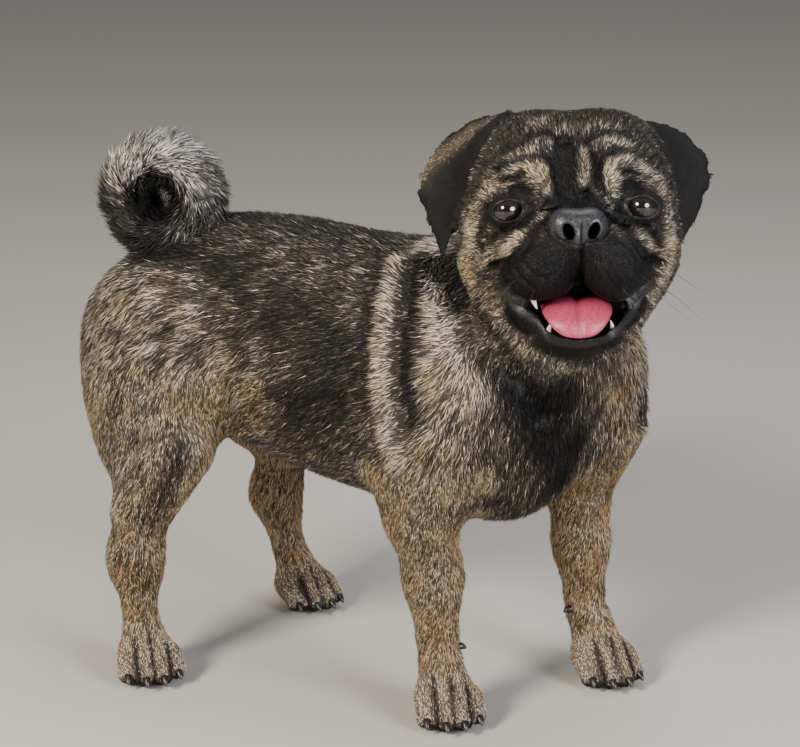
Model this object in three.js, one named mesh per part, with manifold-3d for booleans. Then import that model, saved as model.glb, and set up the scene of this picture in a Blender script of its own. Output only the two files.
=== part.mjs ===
// A pug, life size, standing on four feet with its head turned to its right, its mouth open and its tail
// curled over its right hip. Millimetres, +Z up, +X towards the chest, +Y to the dog's left.
// The solids follow the outer face of the short coat. The soft forms are eggs and limbs that melt into one
// another, and a net of points is laid on the result by looking outwards from a centre or from a line.
import * as THREE from "three";
import { ParametricGeometry } from "three/addons/geometries/ParametricGeometry.js";
import { mergeVertices } from "three/addons/utils/BufferGeometryUtils.js";
import Module from "manifold-3d";

const wasm = await Module();
wasm.setup();

// Driving sizes of the trunk
const GAP = 0.3; // between neighbours
const BACK = 305; // height of the back
const WITHERS = 293; // height of the back between the shoulders
const BRISKET = 128; // height of the chest's underside
const RIB_HALF = 80; // half the width of the ribs
const RUMP_BACK = -200;
const PAW_TOP = 36; // height where each leg ends and its paw begins

// Faces round and along each net or tube
const NET = {
  torso: [28, 22],
  neck: [34, 18],
  head: [56, 36],
  nose: [20, 9],
  leg: [16, 17],
  paw: [22, 10],
  eye: [16, 8],
  ear: [14, 13],
  tongue: [20, 9],
  tail: [14, 9],
  claw: [6, 3],
};

// Where the feet stand: the middle of each paw, how far its toes turn to the dog's right, in degrees, how far
// behind a front paw its shin is, and how far behind a hind paw its hock is
const FEET = {
  front_right: { x: 82, y: -52, side: -1, turn: -50, shin: 8 },
  front_left: { x: 138, y: 63, side: 1, turn: -40, shin: 15 },
  hind_right: { x: -129, y: -85, side: -1, turn: -45, hock: 7 },
  hind_left: { x: -114, y: 88, side: 1, turn: -28, hock: 22 },
};

// The head has a frame of its own: its origin is midway between the eyes, x points out of the face, y to the
// head's left and z up. It is turned to the dog's right, then lifted, then leaned, in degrees.
const HEAD = { x: 163, y: -44, z: 339, turn: -60, lift: 5, lean: 1.5 };
const EYE = { x: -5.5, y: 40, z: 0, radius: 11.5, openHalf: 7.8, openHigh: 6.2 };
const SKULL_HALF = 64;
const SKULL_TOP = 57;
const CHIN = -91;
const NOSE = { x: 20, z: -8, half: 17.5, high: 10 };

// The mouth in the head's frame: half its width, and heights of the lips' edges
const MOUTH = { half: 45, corner: -46, upper: -42.5, flew: -56, lower: -76.5, back: -16 };
const TONGUE = { half: 20.5, tipHalf: 16, thick: 3.4, tip: 19, arch: 2.5 };

// The tail is a ring that faces forwards and to the dog's right, and its turns are in degrees
const TAIL = { x: -144, y: -35, z: 317, ring: 26, radius: 17.5, tipRadius: 13 };
const TAIL_TURN = { face: -59.6, start: 214, end: -158 };

const COLOURS = {
  coat: 0x5d5042,
  saddle: 0x35302c,
  mask: 0x1d1b1b,
  ear: 0x211f1e,
  silver: 0x8f877b,
  tongue: 0xd9808c,
  nose: 0x2c2c2f,
  eye: 0x1b1310,
  claw: 0x17171a,
};

const V = (x, y, z) => new THREE.Vector3(x, y, z);
const radians = THREE.MathUtils.degToRad;
const { lerp, clamp, smoothstep } = THREE.MathUtils;

// Forms as fields: below zero inside, and about the distance in millimetres outside
function egg([x, y, z], radii, pitch = 0, yaw = 0) {
  const middle = V(x, y, z);
  const size = V(...radii);
  const turned = new THREE.Euler(0, radians(pitch), radians(yaw), "ZYX");
  const back = new THREE.Quaternion().setFromEuler(turned).invert();
  const q = V(0, 0, 0);
  return (p) => {
    q.copy(p).sub(middle).applyQuaternion(back).divide(size);
    const near = q.length();
    const slope = q.divide(size).length();
    return slope < 1e-9 ? -Math.min(...radii) : (near * (near - 1)) / slope;
  };
}

// A limb runs through stations of [x, y, z, radius]
function limb(...stations) {
  const ends = stations.map(([x, y, z]) => V(x, y, z));
  const q = V(0, 0, 0);
  const step = V(0, 0, 0);
  return (p) => {
    let best = Infinity;
    for (let i = 0; i + 1 < ends.length; i++) {
      step.copy(ends[i + 1]).sub(ends[i]);
      const t = clamp(q.copy(p).sub(ends[i]).dot(step) / step.lengthSq(), 0, 1);
      const away = q.copy(ends[i]).addScaledVector(step, t).distanceTo(p);
      best = Math.min(best, away - lerp(stations[i][3], stations[i + 1][3], t));
    }
    return best;
  };
}

function softMin(a, b, reach) {
  const share = Math.max(reach - Math.abs(a - b), 0) / reach;
  return Math.min(a, b) - (share * share * reach) / 4;
}

const melt = (reach, ...forms) => (p) => forms.map((form) => form(p)).reduce((a, b) => softMin(a, b, reach));

function bothSides(form) {
  const q = V(0, 0, 0);
  return (p) => form(q.set(p.x, Math.abs(p.y), p.z));
}

// Trunk
const chestMiddle = (WITHERS + BRISKET) / 2;
const chestHigh = (WITHERS - BRISKET) / 2;
const trunk = melt(
  26,
  egg([28, 0, chestMiddle], [100, RIB_HALF, chestHigh]),
  egg([40, 0, 244], [78, 52, WITHERS - 244]),
  egg([-44, 0, 223], [96, RIB_HALF - 8, 83]),
  egg([-112, 0, 240], [-112 - RUMP_BACK, 72, BACK - 240], -4),
  egg([94, 0, 199], [58, 66, 76]),
);

// Legs, down to their paws
function frontLeg({ x, y, side, shin }) {
  const elbow = [x - 4 - shin, lerp(y, side * 66, 0.5), 134];
  return melt(
    16,
    egg([x - 16, side * 54, 200], [46, 36, 64], 10),
    limb([x - 10, side * 58, 180, 36], [...elbow, 24], [x - 2 - shin, y, 94, 17.5]),
    limb([x - 2 - shin, y, 94, 17.5], [x + 2 - shin, y, 50, 15], [x - 1, y, 20, 17]),
    egg([elbow[0] - 15, elbow[1], elbow[2] + 4], [12, 12, 19]),
  );
}

function hindLeg({ x, y, side, hock }) {
  const knee = [x + 17, side * 74, 160];
  return melt(
    18,
    egg([-138, side * 50, 214], [58, 44, 68], -12),
    egg([-148, side * 66, 172], [32, 28, 52], -6),
    limb([-134, side * 58, 200, 42], [...knee, 29], [x + 5 - hock, y, 116, 22], [x - hock, y, 80, 15.5]),
    limb([x - hock, y, 80, 15.5], [x - 2 - hock / 2, y, 44, 13.5], [x - 2, y, 20, 16]),
    egg([x - hock - 6, y, 84], [9, 9, 12]),
  );
}

const legForm = {};
for (const [name, foot] of Object.entries(FEET)) {
  legForm[name] = name.startsWith("front") ? frontLeg(foot) : hindLeg(foot);
}

// Neck and throat
const neckForm = melt(
  20,
  limb([46, 0, 232, 66], [84, 8, 254, 54], [116, 16, 288, 44]),
  egg([116, 12, 240], [50, 62, 56], 20),
);

const trunkWithLegs = (p) => Object.values(legForm).reduce((d, leg) => softMin(d, leg(p), 18), trunk(p));
const body = (p) => softMin(trunkWithLegs(p), neckForm(p), 24);

// Head, in its own frame
const headPlace = new THREE.Matrix4()
  .makeTranslation(HEAD.x, HEAD.y, HEAD.z)
  .multiply(new THREE.Matrix4().makeRotationZ(radians(HEAD.turn)))
  .multiply(new THREE.Matrix4().makeRotationY(-radians(HEAD.lift)))
  .multiply(new THREE.Matrix4().makeRotationX(radians(HEAD.lean)));
const intoHead = headPlace.clone().invert();

const skull = melt(
  16,
  egg([-46, 0, 1], [51, SKULL_HALF, SKULL_TOP - 2]),
  bothSides(egg([-44, 27, 16], [42, 34, 38])),
  bothSides(egg([-38, 38, -30], [38, 29, 30])),
  egg([-34, 0, -50], [42, 40, 30]),
);
const jaw = melt(
  8,
  egg([-12, 0, CHIN + 23], [28, 31, 23]),
  bothSides(limb([4, 20, -77, 7], [-10, 33, -62, 8], [-18, 46, -46, 9])),
);
// Rolls of loose skin that run from each cheek down behind the jaw and meet under the throat
const rolls = melt(
  6,
  limb([-30, -60, -34, 10], [-26, -53, -55, 10], [-22, -43, -70, 9.5], [-20, -30, -86, 9]),
  limb([-30, 53, -34, 10], [-26, 46, -52, 10], [-22, 37, -66, 9.5], [-20, 26, -82, 9]),
  limb([-20, -30, -86, 9], [-20, -6, -94, 9], [-20, 26, -82, 9]),
);
const flews = melt(7, bothSides(egg([3, 22, -31], [26, 23, 24])), egg([5, 0, -16], [22, 26, 20]));
const browPad = egg([-6, 27, 19], [14, 17, 13], 0, 15);
const LID = 1.1; // thickness of the lids over the eyeball
const lidRadius = EYE.radius + LID;
const eyeMound = egg([EYE.x, EYE.y, EYE.z], [lidRadius, lidRadius, lidRadius]);

// Folds and creases of the face are lines seen from the front, [y, z], alike on both sides, and each is
// raised or sunk
const FOLDS = [
  { name: "nose", line: [[0, 9], [15, 5], [28, -5], [38, -19], [50, -30], [58, -36]], wide: 6, high: 4 },
  { name: "brow", line: [[14, 12], [17, 26], [30, 31], [44, 22], [54, 9]], wide: 6, high: 3.5 },
  { name: "forehead", line: [[7, 36], [22, 44], [40, 41]], wide: 5, high: 2 },
  { name: "cheek", line: [[58, 4], [61, -14], [60, -30]], wide: 7, high: 2.5 },
  { name: "beside the flew", line: [[19, -3], [27, -14], [36, -28], [46, -40]], wide: 4.5, high: -3 },
  { name: "above the brow", line: [[10, 28], [18, 36], [34, 38], [50, 28]], wide: 5, high: -2 },
  { name: "under the eye", line: [[28, -10], [38, -15], [50, -13]], wide: 4.5, high: -1.5 },
  { name: "between the brows", line: [[3, 14], [4, 34]], wide: 5, high: -2 },
];
const foldLines = FOLDS.map(({ line, wide, high }) => {
  const curve = new THREE.CatmullRomCurve3(line.map(([y, z]) => V(0, y, z)));
  return { points: curve.getPoints(line.length * 4), wide, high };
});
function relief(p) {
  const front = smoothstep(p.x, -45, -15);
  if (front === 0) return 0;
  const q = V(0, Math.abs(p.y), p.z);
  let height = 0;
  for (const { points, wide, high } of foldLines) {
    const away = Math.min(...points.map((point) => point.distanceToSquared(q)));
    height += high * Math.exp(-away / (wide * wide));
  }
  return height * front;
}

const faceBase = melt(4, melt(8, skull, jaw, rolls), flews, bothSides(melt(3, browPad, eyeMound)));
const headPoint = V(0, 0, 0);
function headForm(p) {
  headPoint.copy(p).applyMatrix4(intoHead);
  return faceBase(headPoint) - relief(headPoint);
}
const whole = (p) => softMin(body(p), headForm(p), 6);

// Nose leather
const nose = melt(
  5,
  bothSides(egg([NOSE.x, NOSE.half / 2, NOSE.z], [9, NOSE.half / 2, NOSE.high])),
  egg([NOSE.x + 1, 0, NOSE.z + 3], [9, 12, 7]),
  egg([NOSE.x + 2, 0, NOSE.z - 6], [7, 5, 6]),
);

// A closed three.js geometry as a solid that can be joined and cut, and back again
function solid(geometry) {
  const bare = geometry.clone();
  bare.deleteAttribute("normal");
  bare.deleteAttribute("uv");
  const merged = mergeVertices(bare, 1e-3);
  const corners = merged.index.array;
  const faces = [];
  for (let i = 0; i < corners.length; i += 3) {
    const [a, b, c] = corners.slice(i, i + 3);
    if (a !== b && b !== c && c !== a) faces.push(a, b, c);
  }
  const vertProperties = Float32Array.from(merged.attributes.position.array);
  const made = (list) => {
    const triVerts = Uint32Array.from(list);
    return new wasm.Manifold(new wasm.Mesh({ numProp: 3, vertProperties, triVerts }));
  };
  const first = made(faces);
  return first.volume() > 0 ? first : made(faces.reverse());
}

function geometryOf(shape) {
  const { vertProperties, triVerts, numProp } = shape.getMesh();
  const points = [];
  for (let i = 0; i < vertProperties.length; i += numProp) points.push(...vertProperties.slice(i, i + 3));
  const made = new THREE.BufferGeometry();
  made.setAttribute("position", new THREE.Float32BufferAttribute(points, 3));
  made.setIndex([...triVerts]);
  made.computeVertexNormals();
  return made;
}

// A net on a form: from(v) is where each ray starts and aim(u, v) where it goes
function wrap(form, from, aim, around, along, reach) {
  const step = 1.5;
  const halvings = 12;
  const start = V(0, 0, 0);
  const way = V(0, 0, 0);
  const probe = V(0, 0, 0);
  const at = (distance) => probe.copy(start).addScaledVector(way, distance);
  const surface = (u, v, target) => {
    start.copy(from(v));
    way.copy(aim(u === 1 ? 0 : u, v)).normalize();
    let outside = 0;
    while (outside < reach && form(at(outside)) < 0) outside += step;
    let inside = Math.max(outside - step, 0);
    for (let i = 0; i < halvings; i++) {
      const middle = (inside + outside) / 2;
      if (form(at(middle)) < 0) inside = middle;
      else outside = middle;
    }
    target.copy(at(outside));
  };
  return solid(new ParametricGeometry(surface, around, along));
}

// A net round a centre. pole points to the net's first point, and near gathers its rows there.
function wrapBall(form, centre, place, around, along, { reach = 120, gather = 0 } = {}) {
  const aim = (u, v) => {
    const polar = Math.PI * lerp(v, v * v, gather);
    const angle = u * Math.PI * 2;
    const ring = V(Math.cos(polar), Math.sin(polar) * Math.cos(angle), Math.sin(polar) * Math.sin(angle));
    return ring.transformDirection(place);
  };
  return wrap(form, () => centre, aim, around, along, reach);
}

// A net round a bent line, with a round end at each tip
function wrapLine(form, points, around, along, { reach = 110, cap = 0.2 } = {}) {
  const line = new THREE.CatmullRomCurve3(points);
  const place = (v) => clamp((v - cap) / (1 - 2 * cap), 0, 1);
  const from = (v) => line.getPoint(place(v));
  const aim = (u, v) => {
    const forward = line.getTangent(place(v));
    const across = V(0, 1, 0).addScaledVector(forward, -forward.y).normalize();
    const up = forward.clone().cross(across);
    const past = v < cap ? v / cap - 1 : Math.max(v - 1 + cap, 0) / cap;
    const lean = (past * Math.PI) / 2;
    const angle = u * Math.PI * 2;
    const ring = across.multiplyScalar(Math.cos(angle)).addScaledVector(up, Math.sin(angle));
    return ring.multiplyScalar(Math.cos(lean)).addScaledVector(forward, Math.sin(lean));
  };
  return wrap(form, from, aim, around, along, reach);
}

// A closed tube along a curve from one share of it to another, with flat ends, or a round tip where tip is
// set. radiusAt(t) gives [half width, half thickness], sideAt(t) the direction of the width, and bend(a, b, t)
// moves a point of the section that is a to the side and b through the thickness.
function tube(curve, radiusAt, sideAt, from, to, around, along, options = {}) {
  const { grow = 0, tip = false, bend = (a, b) => b } = options;
  const rows = along + 2;
  const point = V(0, 0, 0);
  const surface = (u, v, target) => {
    const row = Math.round(v * rows);
    const share = clamp((row - 1) / along, 0, 1);
    const closed = row === 0 || row === rows;
    const t = lerp(from, to, tip ? Math.sin((share * Math.PI) / 2) : share);
    curve.getPoint(t, point);
    const forward = curve.getTangent(t);
    const side = sideAt(t).addScaledVector(forward, -sideAt(t).dot(forward)).normalize();
    const thick = forward.clone().cross(side);
    const taper = tip ? Math.sqrt(Math.max(1 - share ** 4, 0.02)) : 1;
    const [half, depth] = radiusAt(t).map((size) => (closed ? 0 : size * taper + grow));
    const angle = (u === 1 ? 0 : u) * Math.PI * 2;
    const [a, b] = [Math.cos(angle) * half, Math.sin(angle) * depth];
    const end = row <= 1 ? -grow : row >= rows - 1 ? grow : 0;
    const lift = bend(a, b, t);
    target.copy(point).addScaledVector(side, a).addScaledVector(thick, lift).addScaledVector(forward, end);
  };
  return solid(new ParametricGeometry(surface, around, rows));
}

const largest = (shape) => shape.decompose().reduce((a, b) => (a.volume() > b.volume() ? a : b));

// The half of space past a plane, half a gap clear of it
const FAR = 1200; // larger than the dog
function beyond([x, y, z], [nx, ny, nz], clear = GAP / 2) {
  const block = new THREE.BoxGeometry(FAR, FAR, FAR).translate(0, 0, FAR / 2 + clear);
  block.applyQuaternion(new THREE.Quaternion().setFromUnitVectors(V(0, 0, 1), V(nx, ny, nz).normalize()));
  return solid(block.translate(x, y, z));
}

const opposite = (normal) => normal.map((n) => -n);
const keep = (shape, point, normal, clear) => shape.intersect(beyond(point, normal, clear));

// Cutting planes of the neck
const NECK_CUT = { point: [100, 0, 260], normal: [0.62, -0.08, 0.78] };
const headCutPoint = V(-62, 0, -38).applyMatrix4(headPlace).toArray();
const headCutNormal = V(0.85, 0.2, 0.48).transformDirection(headPlace).toArray();

// Round blocks that hold each leg up to where it leaves the trunk
function legBlock(name, { x, y, side }, grow = 0) {
  const front = name.startsWith("front");
  const top = front ? V(x - 10, side * 60, 176) : V(-134, side * 64, 214);
  const foot = V(x - 4, y, 20);
  const radii = front ? [46, 40] : [66, 44];
  const flat = front ? 0.8 : 0.72;
  const axis = foot.clone().sub(top);
  const block = new THREE.CylinderGeometry(radii[0] + grow, radii[1] + grow, axis.length() + 2 * grow, 28);
  block.scale(1, 1, flat);
  const turn = new THREE.Quaternion().setFromUnitVectors(V(0, -1, 0), axis.clone().normalize());
  const middle = top.clone().add(foot).multiplyScalar(0.5);
  return solid(block.applyQuaternion(turn).translate(...middle.toArray()));
}

const pug = new THREE.Group();
function add(name, shape, color, roughness = 0.85) {
  const finish = new THREE.MeshStandardMaterial({ color, roughness });
  const mesh = new THREE.Mesh(geometryOf(largest(shape)), finish);
  mesh.name = name;
  pug.add(mesh);
}

// Tail: a curve that leaves the rump, goes up behind the ring, over it and round to the tip in front
const ringAcross = V(Math.cos(radians(TAIL_TURN.face + 90)), Math.sin(radians(TAIL_TURN.face + 90)), 0);
const ringFacing = V(Math.cos(radians(TAIL_TURN.face)), Math.sin(radians(TAIL_TURN.face)), 0);
const tailPoints = [V(-164, 0, 262), V(-176, -4, 284)];
const TURNS = 15;
for (let i = 0; i <= TURNS; i++) {
  const share = i / TURNS;
  const angle = radians(lerp(TAIL_TURN.start - 18, TAIL_TURN.end, share));
  const depth = lerp(-24, 14, share);
  tailPoints.push(
    V(TAIL.x, TAIL.y, TAIL.z)
      .addScaledVector(ringAcross, TAIL.ring * Math.cos(angle))
      .addScaledVector(ringFacing, depth)
      .add(V(0, 0, TAIL.ring * Math.sin(angle))),
  );
}
const tailCurve = new THREE.CatmullRomCurve3(tailPoints, false, "centripetal");
const tailRadius = (t) => {
  const r = lerp(TAIL.radius, TAIL.tipRadius, smoothstep(t, 0.5, 1));
  return [r, r];
};
const tailGap = GAP / tailCurve.getLength();
const TAIL_PARTS = {
  tail_base: { from: 0, to: 0.36 },
  tail_middle: { from: 0.36 + tailGap, to: 0.68 },
  tail_tip: { from: 0.68 + tailGap, to: 1, tip: true },
};
function tailPart({ from, to, tip }, grow = 0) {
  return tube(tailCurve, tailRadius, () => ringFacing.clone(), from, to, ...NET.tail, { tip, grow });
}

// Torso
let torso = wrapLine(body, [V(-125, 0, 235), V(-40, 0, 226), V(80, 4, 206)], ...NET.torso, { reach: 130 });
torso = keep(torso, NECK_CUT.point, opposite(NECK_CUT.normal));
for (const part of Object.values(TAIL_PARTS)) torso = torso.subtract(tailPart(part, GAP));
for (const [name, foot] of Object.entries(FEET)) torso = torso.subtract(legBlock(name, foot, GAP));
add("torso", torso, COLOURS.coat);
for (const [name, part] of Object.entries(TAIL_PARTS)) add(name, tailPart(part), COLOURS.silver);

// Neck
let neck = wrapLine(whole, [V(76, 2, 226), V(104, 0, 272), V(134, -6, 312)], ...NET.neck, { reach: 115 });
neck = keep(neck, NECK_CUT.point, NECK_CUT.normal);
neck = keep(neck, headCutPoint, opposite(headCutNormal));
for (const name of ["front_right", "front_left"]) neck = neck.subtract(legBlock(name, FEET[name], GAP));
add("neck", neck, COLOURS.coat);

// Ears: flaps that leave the skull, fold over and hang, given by stations across the flap from its root to
// its tip
const EAR = [
  { front: V(-27, 33, 50), back: V(-62, 40, 43) },
  { front: V(-19, 45, 42), back: V(-66, 60, 44) },
  { front: V(-20, 54, 31), back: V(-64, 78, 33) },
  { front: V(-25, 60, 14), back: V(-61, 92, 17) },
  { front: V(-27, 64, -5), back: V(-55, 83, -4) },
  { front: V(-32, 68, -25), back: V(-36, 71, -23) },
];
const EAR_THICK = 2.4;
const EAR_CUP = 6.5;
// How much further back, outward and down each tip hangs, and how much higher each root stands: the right ear
// is perked up at its root and hangs lower and wider
const EAR_HANG = { right: V(-2, 9, -8), left: V(0, 0, 0) };
const EAR_PERK = { right: V(2, -1, 10), left: V(0, 0, 3) };
function ear(side, grow = 0) {
  const word = side < 0 ? "right" : "left";
  const middles = EAR.map(({ front, back }, i) => {
    const share = i / (EAR.length - 1);
    const middle = front.clone().lerp(back, 0.5).addScaledVector(EAR_HANG[word], share ** 2);
    middle.addScaledVector(EAR_PERK[word], (1 - share) ** 2);
    return V(middle.x, middle.y * side, middle.z).applyMatrix4(headPlace);
  });
  const curve = new THREE.CatmullRomCurve3(middles);
  const halves = new THREE.CatmullRomCurve3(
    EAR.map(({ front, back }) => back.clone().sub(front).multiplyScalar(0.5)),
  );
  const sideAt = (t) => {
    const half = halves.getPoint(t);
    return V(half.x, half.y * side, half.z).transformDirection(headPlace);
  };
  const size = (t) => [halves.getPoint(t).length(), EAR_THICK];
  const cupped = (a, b, t) => {
    const across = clamp(a / size(t)[0], -1, 1);
    return b - side * EAR_CUP * (1 - across * across) * Math.sin(Math.PI * t);
  };
  return tube(curve, size, sideAt, 0, 1, ...NET.ear, { grow, tip: true, bend: cupped });
}

// Head
const headMiddle = V(-36, 0, -18).applyMatrix4(headPlace);
let head = wrapBall(whole, headMiddle, headPlace, ...NET.head, { gather: 0.4 });
head = keep(keep(head, headCutPoint, headCutNormal), NECK_CUT.point, NECK_CUT.normal);

// Mouth: the smile between the lips, cut in from the front. A lip's points run from its corner to its middle,
// and the other half mirrors them.
function mirrored(points) {
  const right = points.map(([y, z]) => V(-y, z, 0));
  const left = points.map(([y, z]) => V(y, z, 0)).toReversed();
  return [...right, ...left.slice(1)];
}
const upperLip = new THREE.CatmullRomCurve3(
  mirrored([
    [MOUTH.half, MOUTH.corner],
    [37, MOUTH.flew + 2],
    [26, MOUTH.flew],
    [13, MOUTH.flew + 3.5],
    [6, MOUTH.flew + 8],
    [0, MOUTH.upper],
  ]),
);
const lowerLip = new THREE.CatmullRomCurve3(
  mirrored([
    [MOUTH.half, MOUTH.corner],
    [36, MOUTH.flew - 1],
    [28.5, MOUTH.flew - 6],
    [22.5, MOUTH.flew - 11],
    [18, MOUTH.lower + 5],
    [10, MOUTH.lower + 1],
    [0, MOUTH.lower],
  ]),
);
const smile = [...upperLip.getPoints(26).slice(0, -1), ...lowerLip.getPoints(30).toReversed().slice(0, -1)];
const mouth = new THREE.ExtrudeGeometry(new THREE.Shape(smile), { depth: 80, bevelEnabled: false });
mouth.applyMatrix4(new THREE.Matrix4().makeBasis(V(0, 1, 0), V(0, 0, 1), V(1, 0, 0)));
mouth.translate(MOUTH.back, 0, 0).applyMatrix4(headPlace);
head = head.subtract(solid(mouth));

// Eyes and their sockets
function eyeball(side, grow = 0) {
  const ball = new THREE.SphereGeometry(EYE.radius + grow, ...NET.eye);
  return solid(ball.rotateZ(-Math.PI / 2).translate(EYE.x, side * EYE.y, EYE.z).applyMatrix4(headPlace));
}
function eyeOpening(side) {
  const opening = new THREE.CylinderGeometry(1, 0.85, 16, 20).rotateZ(-Math.PI / 2);
  opening.scale(1, EYE.openHalf, EYE.openHigh).translate(EYE.x + 13, side * EYE.y, EYE.z);
  return solid(opening.applyMatrix4(headPlace));
}
for (const [word, side] of [["right", -1], ["left", 1]]) {
  head = head.subtract(eyeball(side, GAP)).subtract(eyeOpening(side)).subtract(ear(side, GAP));
  add(`eye_${word}`, eyeball(side), COLOURS.eye, 0.1);
  add(`ear_${word}`, ear(side), COLOURS.ear);
}

// Nose
const noseMiddle = V(NOSE.x, 0, NOSE.z).applyMatrix4(headPlace);
const noseForm = (grow) => (p) => nose(headPoint.copy(p).applyMatrix4(intoHead)) - grow;
const noseNet = (grow) => wrapBall(noseForm(grow), noseMiddle, headPlace, ...NET.nose, { reach: 40 });
let noseLeather = noseNet(0);
for (const side of [-1, 1]) {
  const nostril = new THREE.SphereGeometry(1, 14, 10).scale(7, 3.6, 4.2);
  nostril.rotateX(side * radians(-24)).rotateZ(side * radians(20));
  nostril.translate(NOSE.x + 9, side * 7.2, NOSE.z - 3).applyMatrix4(headPlace);
  noseLeather = noseLeather.subtract(solid(nostril));
}
add("nose", noseLeather, COLOURS.nose, 0.4);
head = head.subtract(noseNet(GAP));

// Tongue, with a groove along its middle
const tongueLine = [V(MOUTH.back + GAP, 0, -59), V(2, 0, -59), V(12, 0, -64), V(TONGUE.tip, 0, -74)];
const tongueCurve = new THREE.CatmullRomCurve3(tongueLine.map((p) => p.applyMatrix4(headPlace)));
const tongueSize = (t) => [lerp(TONGUE.half, TONGUE.tipHalf, smoothstep(t, 0.4, 1)), TONGUE.thick];
const headLeft = () => V(0, 1, 0).transformDirection(headPlace);
const arch = (a) => TONGUE.arch * Math.max(1 - (a / TONGUE.half) ** 4, 0);
const groove = (a, b) => arch(a) + (b > 0 ? b * (1 - 0.45 * Math.exp(-((a / 2.5) ** 2))) : b);
const tongue = tube(tongueCurve, tongueSize, headLeft, 0, 1, ...NET.tongue, { tip: true, bend: groove });
add("tongue", tongue, COLOURS.tongue, 0.35);

// Canine teeth, joined to the head: one pair stands in the lower jaw and one hangs below the upper lips
const CANINE = { radius: 2.4, high: 11 };
const CANINES = [
  { x: 7, y: 19, z: -70, turn: 90 },
  { x: 6, y: 25.5, z: -53, turn: -90 },
];
for (const { x, y, z, turn } of CANINES) {
  for (const side of [-1, 1]) {
    const tooth = new THREE.ConeGeometry(CANINE.radius, CANINE.high, 8).rotateX(radians(turn));
    head = head.add(solid(tooth.translate(x, side * y, z).applyMatrix4(headPlace)));
  }
}
add("head", head, COLOURS.coat);

// Paws and claws, in a frame with x along the toes
const TOES = [
  { across: -15.5, ahead: 12, radius: 7.6, splay: -14 },
  { across: -5.4, ahead: 19, radius: 8.2, splay: -4 },
  { across: 5.4, ahead: 19, radius: 8.2, splay: 4 },
  { across: 15.5, ahead: 12, radius: 7.6, splay: 14 },
];
const CLAW = { radius: 2.9, length: 7, drop: 5, inside: 3 };
// The dewclaws grow on the inner side of the front legs, away from the middle of the shin
const DEWCLAW = { radius: 2.6, length: 7, drop: 8, away: 12.2, z: 50, splay: 75 };

function pawForm(foot, leg) {
  const toes = TOES.map(({ across, ahead, radius }) =>
    limb(
      [ahead - 20, across * 0.7, 15, radius],
      [ahead - 4, across, 17, radius],
      [ahead + 5, across * 1.06, 9, radius],
    ),
  );
  const pad = egg([-3, 0, 13], [22, 19, 15]);
  const inside = foot.clone().invert();
  const q = V(0, 0, 0);
  return (p) => {
    q.copy(p).applyMatrix4(inside);
    const foreToes = toes.map((toe) => toe(q)).reduce((a, b) => softMin(a, b, 2));
    return softMin(softMin(foreToes, pad(q), 6), leg(p), 12);
  };
}

// A claw grows out at root, in the foot's frame, turned by splay, and bends down to its tip
function claw(root, { radius, length, drop }, splay, place, grow = 0) {
  const out = V(Math.cos(radians(splay)), Math.sin(radians(splay)), 0);
  const middle = root.clone().addScaledVector(out, length * 0.6).add(V(0, 0, -0.15 * drop));
  const end = root.clone().addScaledVector(out, length).add(V(0, 0, -drop));
  const curve = new THREE.CatmullRomCurve3([root, middle, end].map((p) => p.clone().applyMatrix4(place)));
  const size = (t) => [lerp(radius, 0.6, t * t), lerp(radius * 1.2, 0.7, t * t)];
  return tube(curve, size, () => V(out.y, -out.x, 0).transformDirection(place), 0, 1, ...NET.claw, { grow });
}
const toeClaw = ({ across, ahead, radius, splay }, place, grow) =>
  claw(V(ahead + 5 + radius - CLAW.inside, across * 1.06, 9.5), CLAW, splay, place, grow);

for (const [name, foot] of Object.entries(FEET)) {
  const { x, y, side } = foot;
  const front = name.startsWith("front");
  const line = front
    ? [
        V(x - 14, side * 56, 190),
        V(x - 4 - foot.shin, side * 58, 140),
        V(x - 2 - foot.shin, y, 90),
        V(x + 2 - foot.shin, y, 46),
      ]
    : [
        V(-136, side * 58, 206),
        V(x, side * 72, 150),
        V(x - foot.hock, y, 84),
        V(x - 2 - foot.hock / 2, y, 46),
      ];
  const place = new THREE.Matrix4().makeTranslation(x, y, 0);
  place.multiply(new THREE.Matrix4().makeRotationZ(radians(foot.turn)));
  let leg = wrapLine(trunkWithLegs, line, ...NET.leg, { cap: 0.14, reach: 90 });
  leg = keep(leg.intersect(legBlock(name, foot)), [0, 0, PAW_TOP], [0, 0, 1]);
  if (front) {
    const splay = -side * DEWCLAW.splay;
    const root = V(x + 2 - foot.shin, y, DEWCLAW.z).applyMatrix4(place.clone().invert());
    root.x += DEWCLAW.away * Math.cos(radians(splay));
    root.y += DEWCLAW.away * Math.sin(radians(splay));
    leg = leg.subtract(claw(root, DEWCLAW, splay, place, GAP));
    add(`dewclaw_${name}`, claw(root, DEWCLAW, splay, place), COLOURS.claw, 0.3);
  }
  add(`leg_${name}`, leg, COLOURS.coat);

  const middle = V(2, 0, 15).applyMatrix4(place);
  let paw = wrapBall(pawForm(place, legForm[name]), middle, place, ...NET.paw, { reach: 60, gather: 0.3 });
  paw = keep(keep(paw, [0, 0, PAW_TOP], [0, 0, -1]), [0, 0, 0], [0, 0, 1], 0);
  TOES.forEach((toe, i) => {
    paw = paw.subtract(toeClaw(toe, place, GAP));
    add(`claw_${name}_${i + 1}`, toeClaw(toe, place), COLOURS.claw, 0.3);
  });
  add(`paw_${name}`, paw, COLOURS.coat);
}

// The origin is under the middle of the animal's box, on the floor
const box = new THREE.Box3().setFromObject(pug);
pug.position.set(-(box.min.x + box.max.x) / 2, -(box.min.y + box.max.y) / 2, 0);

export default pug;
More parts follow.
